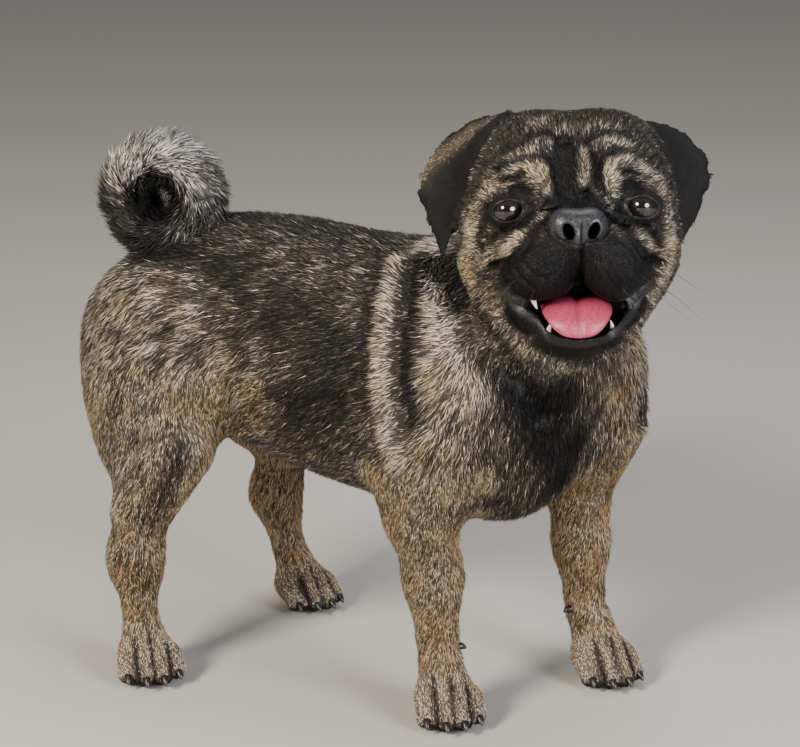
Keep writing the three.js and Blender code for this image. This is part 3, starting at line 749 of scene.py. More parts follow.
# x, y and z of the groove behind the cheek
THROAT_GROOVE = [(70, -34, 294), (82, -43, 284), (92, -48, 276), (110, -56, 264), (117, -56, 256),
                 (123, -56, 247), (132, -52, 235), (137, -49, 222), (143, -40, 205)]
# (line, half width, height)
BODY_FOLDS = [
    (SHOULDER_FOLD, 6.5, 3.8),
    (SHOULDER_GROOVE, 5.5, -4.4),
    (BEHIND_FOLD, 7.0, -1.8),
    (RUFF, 9.0, 3.6),
    ([(-60, 66, 206), (-70, 70, 190), (-66, 50, 172)], 8.0, -2.0),
]
THROAT_FOLDS = [(THROAT_GROOVE, 8.0, -6.0)]


def body_folds(p):
    both = mirrored(p)
    height = np.zeros(len(p))
    for points_of, table in ((both, BODY_FOLDS), (p, THROAT_FOLDS)):
        for line, wide, high in table:
            height += high * bell(distance_to_line(points_of, fine_line(line)), wide)
    return height


write_points(skin, points)
local = to_head(points)
crease = FOLD_STRENGTH * folds(local) - 1.2 * bell(nose_field(local), 1.3) * (local[:, 0] > 5)
crease = crease * (1 - smoothstep(np.abs(opening_share(local) - 0.9), 0.55, 0.1) * (local[:, 0] > -20))
of_trunk = region[:, [REGIONS.index("trunk"), REGIONS.index("neck")]].sum(axis=1)
crease += body_folds(to_body(points)) * of_trunk
points = points + read_normals(skin) * (crease * MM)[:, None]
points = smooth(points, edges, np.full(len(points), 0.5), 1)

# %% [markdown]
# The solids reach out to the tips of the hair, so the skin sinks by the depth of the coat: most on the
# tail, little on the ears and the muzzle, and not at all inside the mouth, where there is no hair.

# %% Sink the skin under its coat
# millimetres, for trunk, neck, head, ear, tail, leg and paw
COAT_DEPTH = np.array([2.6, 2.6, 1.5, 1.0, 4.5, 2.0, 1.4])
MUZZLE_POINTS = np.array([[10, -20, -30], [10, 0, -24], [10, 20, -30], [4, 0, -70]])  # in the head's frame
MUZZLE_THINNER = 0.55  # share of the depth that is missing on the muzzle
THROAT_BACK = -20  # behind this the head has no mouth
write_points(skin, points)
depth = region @ COAT_DEPTH
local = to_head(points)
muzzle = bell(distance_to_line(local, MUZZLE_POINTS), 30)
depth = depth * (1 - MUZZLE_THINNER * muzzle)
lip_gap = np.where(local[:, 0] > THROAT_BACK, mouth_field(local), 9)
in_mouth = smoothstep(-lip_gap, -1.5, 0.8)
depth = depth * (1 - in_mouth)
points = points - read_normals(skin) * (depth * MM)[:, None]

# %% [markdown]
# The skin passes over the eyeballs so far. Inside the outline of each opening it is pushed back behind
# the ball, and the steep edge that this leaves is the lid: about a millimetre of dark skin that stands
# proud of the eye. The skin behind each nostril is pushed in too, so that it doesn't fill the hole of
# the nose.

# %% Open the lids
NOSTRIL = {"y": 7.4, "z": -10.8, "half": 3.1, "high": 4.7, "deep": 8.0}
NOSE_MIDDLE = 1.4  # the groove stands a little to the animal's left


def nostril_share(p):
    """Distance from the middle of the nearer nostril seen from the front, 1 at its rim."""
    y = np.abs(p[:, 1] - NOSE_MIDDLE) - NOSTRIL["y"]
    z = p[:, 2] - NOSTRIL["z"]
    return np.hypot((y - 0.22 * z) / NOSTRIL["half"], z / NOSTRIL["high"])


LID_COVER = 0.7  # millimetres of skin over the ball
local = to_head(points)
ahead = local[:, 0] > EYE["x"] - 4
out = opening_share(local)
ball = np.column_stack([local[:, 0] - EYE["x"], np.abs(local[:, 1]) - EYE["y"], local[:, 2]])
across = np.hypot(ball[:, 1], ball[:, 2])
front = np.sqrt(np.maximum(EYE["radius"] ** 2 - across**2, 0.0))
rim = front + 1.3 - 0.6 * smoothstep(out, 1.0, 1.5)
raised = np.maximum(rim * bell(out - 1.12, 0.55) - ball[:, 0], 0)
raised *= smoothstep(ball[:, 0], -6, -1) * (1 - smoothstep(out, 1.25, 1.8)) * (out > 1.0)
inner = smoothstep(1.0 - out, 0.0, 0.14)
lid_shape = np.where(ahead & (out < 1.0), front + 0.9 - 3.1 * inner, ball[:, 0] + raised)
over_ball = ahead & (out >= 1.0) & (across < EYE["radius"])
lid_shape = np.where(over_ball, np.maximum(lid_shape, front + LID_COVER), lid_shape)
local[:, 0] = lid_shape + EYE["x"]
behind_nostril = (1 - smoothstep(nostril_share(local), 0.9, 1.6)) * (local[:, 0] > NOSE["x"])
local[:, 0] -= (NOSTRIL["deep"] + 2) * behind_nostril
points = from_head(local)
write_points(skin, points)
skin_triangles = sum(len(p.vertices) - 2 for p in skin.data.polygons)
print("skin with lids:", len(points), "vertices,", skin_triangles, "triangles")

# %% [markdown]
# ## Markings and lie of the coat
# A brindle coat is a mix of black hairs and pale ones. What changes over the body is how many of the
# hairs are pale, and how warm the pale ones are: silver on the tail, cream on the ruff, tan on the
# legs. So the markings are two numbers at each place, set by soft patches along named lines, and both
# the skin and the tufts read them. The share of pale hairs is written as the eye judges it, so its
# square is the share of light. The lines are in the body's frame. Those of the trunk and the legs hold
# for both sides, those of the throat, the chest and the tail don't.

# %% Markings of the body
# (line of x, |y|, z, reach, share of pale hairs, warmth)
BODY_PATCHES = [
    ([(-150, 0, 292), (-90, 10, 303), (-48, 10, 305), (0, 14, 303), (40, 20, 300)], 36, 0.20, 0.0),  # saddle
    ([(-118, 48, 288), (-92, 55, 283), (-74, 56, 281)], 17, 0.14, 0.1),  # top of the rump
    ([(-48, 64, 264), (1, 72, 252), (13, 79, 215), (-20, 76, 200)], 29, 0.16, 0.2),  # flank
    # rump and thigh
    ([(-146, 82, 257), (-156, 91, 224), (-125, 99, 190), (-140, 100, 150)], 34, 0.54, 0.42),
    ([(-74, 71, 212), (-62, 69, 201), (-50, 66, 194), (-66, 50, 178)], 14, 0.66, 0.70),  # groin
    ([(-93, 93, 165), (-100, 92, 150), (-112, 100, 118)], 9, 0.26, 0.4),  # dark streak down the thigh
    ([(88, 85, 221), (91, 90, 191), (84, 84, 150)], 24, 0.69, 0.5),  # shoulder and upper arm
    # the shoulder fold and the ruff are paler, partly cream hair and partly painted highlight; behind the
    # fold and in the groove beside it the hair is darker: painted shade
    (SHOULDER_FOLD, 7.5, 0.78, 0.35),
    (RUFF, 12.0, 0.90, 0.3),
    (BEHIND_FOLD, 8.0, 0.15, 0.1),
    ([(x + 3, y, z) for x, y, z in SHOULDER_GROOVE], 9.5, 0.0, 0.1),
]
# the same, but with y as it is: the head is turned, so the throat and the chest aren't alike on both sides
CHEST_PATCHES = [
    ([(160, -12, 220), (161, 17, 207)], 10, 0.46, 0.5),  # under the chin
    # in the groove behind the cheek the hair is black and is darkened further by painted shadow of the
    # recess
    (THROAT_GROOVE, 15, 0.0, 0.1),
    ([(128, -54, 242), (137, -49, 222), (143, -40, 205)], 17, 0.0, 0.1),
    ([(150, -33, 217), (144, -34, 191), (146, -22, 175), (150, -9, 179), (142, -14, 150)], 19, 0.05, 0.1),
    ([(167, 47, 234), (168, 46, 215), (162, 29, 204), (163, 36, 183), (159, 54, 158)], 15, 0.72, 0.65),
    ([(116, -36, 150), (104, -56, 142)], 10, 0.25, 0.4),
]
LEG_PATCHES = [
    ([(-126, 100, 73), (-140, 100, 95)], 12, 0.62, 0.8),
    ([(-116, 103, 116), (-122, 102, 40)], 8, 0.40, 0.6),
    ([(80, 84, 128), (84, 74, 100)], 9, 0.46, 0.5),
]
# under the curl of the tail where it lies on the rump, at its root and in the hole of the curl the hair is
# darker: partly black hair, partly painted shadow and painted shade
TAIL_PATCHES = [
    ([(-187, -43, 313), (-172, -58, 301), (-157, -65, 294), (-148, -61, 289), (-130, -49, 286)],
     17, 0.03, 0.0),
    ([(-158, -58, 308), (-145, -59, 303), (-135, -51, 299)], 12, 0.08, 0.0),
    ([(-164, 0, 262), (-172, -6, 276), (-150, -34, 290), (-120, -40, 296)], 13, 0.20, 0.0),
    ([(-150, -10, 306), (-158, -4, 300), (-144, -35, 317)], 14, 0.0, 0.0),
]
# for trunk, neck, head, ear, tail, leg and paw, where no patch lies
PALE_BASE = np.array([0.38, 0.36, 0.33, 0.03, 0.58, 0.84, 0.92])
WARM_BASE = np.array([0.30, 0.30, 0.35, 0.10, 0.04, 0.72, 0.45])


def lay_patches(p, patches, pale, warm):
    for line, reach, patch_pale, patch_warm in patches:
        share = bell(distance_to_line(p, fine_line(line, 6)), reach)
        pale = pale + (patch_pale - pale) * share
        warm = warm + (patch_warm - warm) * share
    return pale, warm


def body_markings(p, weight):
    pale = weight @ PALE_BASE
    warm = weight @ WARM_BASE
    both = mirrored(p)
    pale, warm = lay_patches(both, BODY_PATCHES + LEG_PATCHES, pale, warm)
    pale, warm = lay_patches(p, CHEST_PATCHES + TAIL_PATCHES, pale, warm)
    return pale, warm


# %% [markdown]
# The face has a black mask over muzzle, chin and eyes, and on its folds painted highlight on each ridge
# and painted shade in each crease, which come from the same lines that shaped them.

# %% Markings of the face
# ellipses seen from the front: (y, z, half width, half height, softness)
MASK = [
    (1, -31, 38, 20, 0.12),
    (-22, -41, 24, 17, 0.12),
    (23, -41, 24, 17, 0.12),
    (0, -76, 25, 15.5, 0.14),
    (-26, -62, 17, 13, 0.15),
    (27, -60, 17, 13, 0.15),
    (-1, 4, 17, 10, 0.30),
    (-39, -1, 15.5, 10.5, 0.22),
    (39, -1, 15.5, 10.5, 0.22),
    (-6, 22, 7.5, 17, 0.40),
]
# the tan band outside the black jaw, from the cheeks to under the chin
JAW_BAND = fine_line(
    [(-62, -10), (-65.5, -28), (-67, -40), (-63, -49), (-54, -54), (-48, -61), (-42.5, -70.5),
     (-36.5, -79.5), (-27.5, -89), (-18.5, -96), (-6.5, -100.5), (7, -103), (20, -101), (28, -92),
     (36, -72), (43, -60), (51, -50), (57, -40), (58, -20)], 5
)


def face_markings(p):
    mask = np.zeros(len(p))
    for y, z, wide, high, soft in MASK:
        out = np.hypot((p[:, 1] - y) / wide, (p[:, 2] - z) / high)
        mask = np.maximum(mask, 1 - smoothstep(out, 1 - soft, 1 + soft))
    front = smoothstep(p[:, 0], -58, -34)
    cheek = smoothstep(-p[:, 2], -14, 30) * smoothstep(np.abs(p[:, 1]), 36, 50)
    jaw = bell(distance_to_line(p[:, 1:], JAW_BAND), 5)
    # paler on each ridge of the folds and darker in each crease: painted highlight and painted shade
    fold_highlight_and_shade = folds(p, "pale")
    pale = 0.25 + 0.05 * cheek + 0.32 * jaw + np.where(fold_highlight_and_shade > 0, 1.6, 1.8) * fold_highlight_and_shade
    warm = 0.26 + 0.1 * cheek + 0.15 * jaw + 0.5 * np.maximum(fold_highlight_and_shade, 0)
    return np.clip(pale, 0.05, 0.8) * (1 - 0.97 * mask), warm, mask, front


# %% [markdown]
# Body, face, rims of the ears and toes come together in one function, because it is asked twice: at the
# skin, and at the place where each hair shows.

# %% Put the markings together
EAR_RIM = fine_line([(-50, -49, 53), (-52, -60, 46), (-55, -72, 36), (-58, -85, 27), (-60, -92, 18)])
TOE_GAPS = np.array([[0.0, 10.6]])  # millimetres to each side of the foot's middle


def markings(places):
    """Share of pale hairs, warmth and black mask of every vertex, read at the given places."""
    local, body = to_head(places), to_body(places)
    pale, warm = body_markings(body, region)
    face_pale, face_warm, mask, front = face_markings(local)
    of_head = region[:, REGIONS.index("head")] * front
    pale = pale + (face_pale - pale) * of_head
    warm = warm + (face_warm - warm) * of_head
    ear_edge = bell(distance_to_line(local, EAR_RIM), 8) * region[:, REGIONS.index("ear")]
    pale = pale + (0.72 - pale) * ear_edge
    warm = warm + (0.45 - warm) * ear_edge
    for foot in FEET:
        step = to_foot(places, foot)
        near = np.hypot(step[:, 0], step[:, 1]) < 45
        on_toes = region[:, REGIONS.index("paw")] * smoothstep(step[:, 0], 4, 14) * near
        from_gap = np.min(np.abs(np.abs(step[:, [1]]) - TOE_GAPS), axis=1)
        # painted shade in the gaps between the toes and along their bottom, painted highlight along each
        # toe's middle
        toe_gap_shade = (bell(from_gap, 1.7) + smoothstep(-step[:, 2], -9, -4)) * on_toes
        pale = pale + (0.8 - pale) * on_toes * bell(from_gap - 5, 2.6) * 0.8
        pale = pale * (1 - 0.95 * np.clip(toe_gap_shade, 0, 1))
    return np.clip(pale, 0, 0.95), warm, mask * of_head


local, body = to_head(points), to_body(points)
pale, warm, mask = markings(points)
print("share of pale hairs:", round(float(pale.mean()), 2))

# %% [markdown]
# Hair lies along the body from the nose backwards, down the legs to the toes and along the tail to its
# tip. That flow is written as one direction per region, laid flat on the skin and smoothed from vertex
# to vertex, so that it turns without a seam from one region to the next.

# %% Lie of the coat
TAIL_MIDDLE = np.array([-144.0, -35.0, 317.0])  # middle of the curl, and the way the curl faces
TAIL_FACE = turn(-59.6, "Z") @ np.array([1.0, 0, 0])
EAR_ROOT = np.array([-50.0, 42.0, 45.0])
IN_FRONT_OF_NOSE = np.array([45.0, 0.0, -12.0])


def unit(vectors):
    return vectors / np.maximum(np.linalg.norm(vectors, axis=1), 1e-9)[:, None]


def flow(body, local):
    """Direction of the hair for every region, as one array per region, in the body's frame."""
    rear = smoothstep(-body[:, 0], 90, 160)
    chest = smoothstep(body[:, 0], 70, 130)
    low = smoothstep(-body[:, 2], -290, -200)
    down = 0.2 + 0.5 * low + 0.8 * rear + 1.2 * chest
    trunk = np.column_stack([-1 + 0.6 * rear + 0.7 * chest, np.zeros(len(body)), -down])
    neck = np.tile([-0.45, -0.1, -0.88], (len(body), 1))
    head = (local - IN_FRONT_OF_NOSE) @ head_turn.T
    ear_from = local - np.column_stack([np.full(len(local), EAR_ROOT[0]), np.sign(local[:, 1]) * EAR_ROOT[1],
                                        np.full(len(local), EAR_ROOT[2])])
    ear = ear_from @ head_turn.T
    spoke = unit(body - TAIL_MIDDLE)
    tail = np.cross(spoke, TAIL_FACE) + 0.35 * spoke
    leg = np.tile([-0.18, 0, -1.0], (len(body), 1))
    paw = np.zeros((len(body), 3))
    for foot in FEET:
        x, y, degrees = FOOT[foot]
        near = np.hypot(body[:, 0] - x, body[:, 1] - y) < 60
        paw[near] = turn(degrees, "Z") @ np.array([1, 0, -0.45])
    return [unit(v) for v in (trunk, neck, head, ear, tail, leg, paw)]


normals = read_normals(skin)
flows = flow(body, local)
lie = sum(region[:, [i]] * direction for i, direction in enumerate(flows))
for _ in range(12):
    lie = lie - normals * (lie * normals).sum(axis=1)[:, None]
    lie = unit(lie)
    lie = 0.5 * lie + 0.5 * neighbour_mean(lie, edges)
lie = unit(lie - normals * (lie * normals).sum(axis=1)[:, None])

# %% [markdown]
# Hair is long on the neck and the tail, and short on the ears, the muzzle and the toes. Lips, lids and
# nose are bare.

# %% Length, width, lift and density of the hair
HAIR_SHOWN = 0.6  # of its length: where a hair reads the markings, because that is the part that shows
HAIR = {  # for trunk, neck, head, ear, tail, leg and paw
    "length": np.array([7.8, 9.5, 4.4, 2.1, 12.0, 5.6, 2.8]),  # millimetres
    "width": np.array([1.05, 1.05, 0.75, 0.8, 0.95, 0.95, 0.75]),
    "lift": np.array([15.0, 18.0, 15.0, 3.0, 24.0, 13.0, 10.0]),  # degrees
    "density": np.array([0.70, 0.75, 2.3, 1.6, 1.3, 0.95, 1.6]),  # how many for the same area
}
hair = {what: region @ values for what, values in HAIR.items()}
on_muzzle = mask * smoothstep(local[:, 0], -42, -20)
hair["length"] *= 1 - 0.52 * on_muzzle
hair["width"] *= 1 - 0.3 * on_muzzle
hair["density"] *= 1 + 0.5 * on_muzzle
CURL_LIFT, CURL_LENGTH = 38.0, 3.0  # degrees and millimetres more, inside the curl of the tail
to_middle = -(unit(body - TAIL_MIDDLE) * normals).sum(axis=1)
in_curl = smoothstep(to_middle, 0.35, 0.8) * region[:, REGIONS.index("tail")]
hair["lift"] += CURL_LIFT * in_curl
hair["length"] += CURL_LENGTH * in_curl
# inside the curl of the tail the skin is darkened: painted shade in the hollow of the curl
pale = pale * (1 - 0.9 * in_curl)
shown = points + lie * (HAIR_SHOWN * hair["length"] * MM)[:, None]
hair["pale"], hair["warm"], _ = markings(shown)
# the hair there is darkened as well: painted shade in the hollow of the curl
hair["pale"] *= 1 - 0.9 * in_curl
facing = local[:, 0] > -24
lower_lip = smoothstep(-local[:, 2], 52, 62)
lips = np.where(facing, mouth_field(local) - 3.5 * lower_lip, 99.0)
lids = np.where(facing, opening_share(local), 99.0)
leather = np.where(local[:, 0] > 5, nose_field(local), 99.0)
bare = 1 - np.minimum.reduce(
    [smoothstep(lips, 0.6, 2.6), smoothstep(lids, 1.1, 1.28), smoothstep(leather, 0.2, 1.4)]
)
hair["length"] *= 0.45 + 0.55 * smoothstep(lids, 1.2, 2.4)
hair["density"] *= np.where(bare > 0.5, 0.0, 1.0)

# %% [markdown]
# The skin gets an unwrap of its own shape. Each tuft later takes the place of its root on that unwrap,
# so that a baked picture of the coat keeps the colour of every hair where it grows.

# %% Unwrap the skin
SMART_ANGLE = math.radians(66)
make_active(skin)
bpy.ops.object.mode_set(mode="EDIT")
bpy.ops.mesh.select_all(action="SELECT")
bpy.ops.uv.smart_project(angle_limit=SMART_ANGLE, island_margin=0.001)
bpy.ops.object.mode_set(mode="OBJECT")
skin.data.uv_layers.active.name = "unwrap"


def add_attribute(piece, name, values):
    layer = piece.data.attributes.new(name, "FLOAT", "POINT")
    layer.data.foreach_set("value", np.asarray(values, np.float32))


for name, values in (("pale", pale**2), ("warm", warm), ("bare", bare)):
    add_attribute(skin, name, values)
lining = (1 - smoothstep(mouth_outline(local), -2.2, -0.4)) * (local[:, 0] > MOUTH_BACK - 8)
add_attribute(skin, "mouth", lining)

# %% [markdown]
# ## The coat
# One tuft is a few hairs that cling together and end in one point. Two are modelled, lying along x with
# a length of one, and copied with numbers instead of by hand: a three-sided sliver with four faces for
# most of the coat, and a kite with six, widest below its middle, for the long hair of the tail.

# %% Model the tufts
TUFT_WAIST = 0.4


def cone_along_x(name, base, length):
    bpy.ops.object.select_all(action="DESELECT")
    bpy.ops.mesh.primitive_cone_add(
        vertices=3,
        radius1=0.5,
        radius2=0.0,
        depth=length,
        end_fill_type="NGON",
        location=(base + length / 2, 0, 0),
        rotation=(0, math.pi / 2, 0),
    )
    piece = bpy.context.active_object
    piece.name = name
    bpy.ops.object.transform_apply(location=True, rotation=True, scale=True)
    return piece


def as_arrays(piece):
    """Points and triangles of a small mesh, which is then removed."""
    mesh = piece.data
    mesh.calc_loop_triangles()
    points = np.array([v.co for v in mesh.vertices])
    triangles = np.array([t.vertices for t in mesh.loop_triangles])
    bpy.data.objects.remove(piece)
    return points, triangles


sliver = as_arrays(cone_along_x("sliver", 0.0, 1.0))
kite = cone_along_x("kite", TUFT_WAIST, 1.0 - TUFT_WAIST)
for face in kite.data.polygons:
    face.select = len(face.vertices) == 3 and max(kite.data.vertices[i].co.x for i in face.vertices) < 0.5
for vertex in kite.data.vertices:
    vertex.select = vertex.co.x < 0.5
for edge in kite.data.edges:
    edge.select = all(kite.data.vertices[i].co.x < 0.5 for i in edge.vertices)
bpy.ops.object.mode_set(mode="EDIT")
bpy.ops.mesh.select_mode(type="FACE")
bpy.ops.mesh.extrude_region_move(TRANSFORM_OT_translate={"value": (-TUFT_WAIST, 0, 0)})
bpy.ops.mesh.merge(type="CENTER")
bpy.ops.object.mode_set(mode="OBJECT")
kite = as_arrays(kite)
print("triangles in a tuft:", len(sliver[1]), "and", len(kite[1]))

# %% [markdown]
# Roots are strewn over the skin's triangles by area and density. Every number that a tuft needs is read
# off the three corners of its triangle.


# %% Strew the roots
def ripple(p, wavelength, seed, waves=7):
    """A smooth random field of about -1 to 1 with the given wavelength, from a few plane waves."""
    source = np.random.default_rng(seed)
    directions = unit(source.normal(size=(waves, 3)))
    phases = source.uniform(0, 2 * math.pi, waves)
    scales = source.uniform(0.7, 1.5, waves)
    angles = p @ (directions * scales[:, None]).T * (2 * math.pi / wavelength) + phases
    return np.sin(angles).sum(axis=1) * math.sqrt(2 / waves) * 0.6


skin.data.calc_loop_triangles()
count = len(skin.data.loop_triangles)
corner_ids = np.empty(count * 3, np.int32)
skin.data.loop_triangles.foreach_get("vertices", corner_ids)
corner_ids = corner_ids.reshape(-1, 3)
loop_ids = np.empty(count * 3, np.int32)
skin.data.loop_triangles.foreach_get("loops", loop_ids)
unwrap = np.empty(len(skin.data.loops) * 2, np.float32)
skin.data.uv_layers["unwrap"].data.foreach_get("uv", unwrap)
unwrap = unwrap.reshape(-1, 2)
corners = points[corner_ids] / MM
area = np.linalg.norm(np.cross(corners[:, 1] - corners[:, 0], corners[:, 2] - corners[:, 0]), axis=1) / 2
print("skin area, square millimetres:", int(area.sum()))
FINE = [REGIONS.index(name) for name in ("head", "ear", "paw")]
fine_share = region[:, FINE].sum(axis=1)


def strew(share, wanted):
    """Random roots on the skin, about as many as wanted, by area times density times share."""
    expected = area * (hair["density"] * share)[corner_ids].min(axis=1)
    expected *= wanted / expected.sum()
    number = np.floor(expected + rng.random(count)).astype(int)
    owner = np.repeat(np.arange(count), number)
    a, b = rng.random((2, len(owner)))
    flip = a + b > 1
    a[flip], b[flip] = 1 - a[flip], 1 - b[flip]
    weights = np.column_stack([1 - a - b, a, b])

    def at_roots(values):
        picked = values[corner_ids[owner]]
        if picked.ndim == 2:
            return (picked * weights).sum(axis=1)
        return (picked * weights[:, :, None]).sum(axis=1)

    roots = {what: at_roots(values) for what, values in hair.items()}
    roots["place"] = at_roots(points) / MM
    roots["normal"] = unit(at_roots(normals))
    roots["lie"] = at_roots(lie)
    roots["uv"] = (unwrap[loop_ids.reshape(-1, 3)[owner]] * weights[:, :, None]).sum(axis=1)
    return roots


# %% [markdown]
# Tufts that are all alike look combed. Slow ripples turn and raise whole patches together, and a random
# share makes each tuft differ. The streaks of the brindle are averaged along the hair, so they run with
# it.

# %% Give every tuft its own turn, length and colour
STREAK = 3.6  # millimetres from one streak of the brindle to the next


def vary(roots):
    place, normal, many = roots["place"], roots["normal"], len(roots["place"])
    flat = unit(roots["lie"] - normal * (roots["lie"] * normal).sum(axis=1)[:, None])
    side = np.cross(normal, flat)
    swing = np.radians(13 * ripple(place, 16, 11) + 9 * ripple(place, 5, 12) + rng.normal(0, 8, many))
    roots["lie"] = flat * np.cos(swing)[:, None] + side * np.sin(swing)[:, None]
    roots["side"] = np.cross(normal, roots["lie"])
    raised = (1 + 0.35 * ripple(place, 9, 13) + rng.normal(0, 0.3, many)).clip(0.25, 2.2)
    roots["lift"] = np.radians(roots["lift"] * raised)
    roots["length"] = roots["length"] * rng.uniform(0.7, 1.25, many)
    roots["width"] = roots["width"] * rng.uniform(0.75, 1.2, many)
    along_hair = [ripple(place + roots["lie"] * step, STREAK, 14) for step in (-5.0, -2.5, 0.0, 2.5, 5.0)]
    streak = 0.95 * np.mean(along_hair, axis=0) + 0.16 * ripple(place, 22, 15)
    judged = roots["pale"] * np.exp(streak + 0.5 * rng.normal(0, 1, many) - 0.1)
    roots["tone"] = judged.clip(0, 1) ** 2
    roots["warm"] = (roots["warm"] + 0.14 * ripple(place, 30, 16) + rng.normal(0, 0.1, many)).clip(0, 1)


# %% [markdown]
# Every tuft is the small template, stretched, lifted and arched by its own numbers. All of them are
# worked out at once and become one mesh, which is far quicker than copying objects.

# %% Lay the tufts
ROOT_DEPTH = 0.06  # of the tuft's length
ARCH = 0.09  # of its length, how high its middle stands over a straight line
THICKNESS = 0.55  # of its width
FLOOR_GAP = 0.3  # millimetres
PATCH = 0.003  # of the unwrap, for one tuft
MOST = 196_000  # triangles in a piece


def mesh_of(name, verts, triangles):
    mesh = bpy.data.meshes.new(name)
    mesh.vertices.add(len(verts))
    mesh.vertices.foreach_set("co", verts.astype(np.float32).ravel())
    mesh.loops.add(len(triangles) * 3)
    mesh.loops.foreach_set("vertex_index", triangles.astype(np.int32).ravel())
    mesh.polygons.add(len(triangles))
    mesh.polygons.foreach_set("loop_start", np.arange(0, len(triangles) * 3, 3, dtype=np.int32))
    mesh.update(calc_edges=True)
    piece = bpy.data.objects.new(name, mesh)
    bpy.context.scene.collection.objects.link(piece)
    return piece


def lay_tufts(name, template, roots):
    """One joined mesh of a tuft at every root, with its own colour numbers and its patch of the unwrap."""
    shape, triangles = template
    u, v, w = shape[:, 0], shape[:, 1], shape[:, 2]
    length, lift = roots["length"][:, None], roots["lift"][:, None]
    forward = length * np.cos(lift) * u
    up = length * (np.sin(lift) * u + ARCH * 4 * u * (1 - u) - ROOT_DEPTH)
    up = up + w * roots["width"][:, None] * THICKNESS
    sideways = v * roots["width"][:, None]
    verts = (
        roots["place"][:, None, :]
        + forward[:, :, None] * roots["lie"][:, None, :]
        + up[:, :, None] * roots["normal"][:, None, :]
        + sideways[:, :, None] * roots["side"][:, None, :]
    )
    verts[:, :, 2] = np.maximum(verts[:, :, 2], FLOOR_GAP)
    many = len(roots["place"])
    faces = (triangles[None] + (np.arange(many) * len(shape))[:, None, None]).reshape(-1, 3)
    piece = mesh_of(name, verts.reshape(-1, 3) * MM, faces)
    for what in ("tone", "warm"):
        add_attribute(piece, what, np.repeat(roots[what], len(shape)))
    add_attribute(piece, "along", np.tile(u, many))
    inside = np.column_stack([u - 0.5, v]) * PATCH
    patch = roots["uv"][:, None, :] + inside[None]
    layer = piece.data.uv_layers.new(name="OFBake")
    layer.data.foreach_set("uv", patch.reshape(-1, 2)[faces.ravel()].clip(0, 1).astype(np.float32).ravel())
    return piece


def coat(name, template, roots):
    """Lays the tufts in as many pieces as keep each under the limit."""
    vary(roots)
    order = np.argsort(roots["place"][:, 0])
    parts = math.ceil(len(order) * len(template[1]) / MOST)
    for i, chosen in enumerate(np.array_split(order, parts)):
        some = {what: values[chosen] for what, values in roots.items()}
        piece = lay_tufts(f"coat_{name}_{i + 1}", template, some)
        piece.data.materials.append(coat_material)
        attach(piece, "root")
        print(piece.name, len(piece.data.polygons), "triangles")


# %% [markdown]
# A pale hair is darkened towards its root by painted shade of the hairs over it, and is pale at its tip,
# which is what makes the coat sparkle. A dark hair is nearly black and turns a little brown at the tip.
# Warmth runs from silver through cream to tan.
# Hair is keratin, with an index of refraction near 1.55 and a soft gloss along each strand.

# %% Finish of the coat
SILVER, CREAM, TAN = "#e2ddd4", "#e0cfb2", "#cfa876"
HAIR_IOR = 1.55


def pale_colour(material, warmth):
    return ramp(material, warmth, [(0.0, SILVER), (0.45, CREAM), (1.0, TAN)])


coat_material, shader = new_material("brindle guard hair")
tone, along, warmth = (attribute(coat_material, name) for name in ("tone", "along", "warm"))
tip = pale_colour(coat_material, warmth)
# pale hair darkened towards its root: painted shade of the hairs over it
root_shade = ramp(coat_material, along, [(0.0, "#3a342e"), (0.2, "#b0a99f"), (0.5, "#ffffff")])
light_hair = mix(coat_material, 1.0, tip, root_shade, "MULTIPLY")
dark_hair = ramp(coat_material, along, [(0.0, "#040404"), (0.6, "#0b0a0a"), (1.0, "#131211")])
put(coat_material, shader, "Base_Color", mix(coat_material, tone, dark_hair, light_hair))
shader.inputs["Roughness"].default_value = 0.55
shader.inputs["IOR"].default_value = HAIR_IOR
shader.inputs["Specular IOR Level"].default_value = 0.18

# %% [markdown]
# The tail takes the long kites. The trunk, the neck and the legs take slivers, and the face, the ears
# and the paws take many more and smaller ones for their size.

# %% Grow the coat
TAIL_TUFTS, BODY_TUFTS, FINE_TUFTS = 22_000, 205_000, 118_000
tail_share = region[:, REGIONS.index("tail")]
coat("tail", kite, strew(tail_share, TAIL_TUFTS))
coat("body", sliver, strew(np.clip(1 - fine_share - tail_share, 0, 1), BODY_TUFTS))
coat("fine", sliver, strew(fine_share, FINE_TUFTS))

# %% [markdown]
# ## Finish of the skin
# Under the coat the skin shows only between hairs, so it takes the mean colour of the hairs there,
# darkened: painted shade of the coat over it. On the lips, the lids and the rim of the nose it is bare:
# black, slightly moist leather with a fine grain. Inside the mouth it turns dark red. The short velvet
# of the muzzle is mostly bump, a grain of about a millimetre.

# %% Skin material
GRAIN = 1.1 * MM
skin_material, shader = new_material("dog skin under short fur")
place = node(skin_material, "ShaderNodeTexCoord").outputs["Object"]
grain = node(skin_material, "ShaderNodeTexNoise", Vector=place, Scale=1 / GRAIN, Detail=3.0)
blotch = node(skin_material, "ShaderNodeTexNoise", Vector=place, Scale=0.12 / GRAIN, Detail=2.0)
under = pale_colour(skin_material, attribute(skin_material, "warm"))
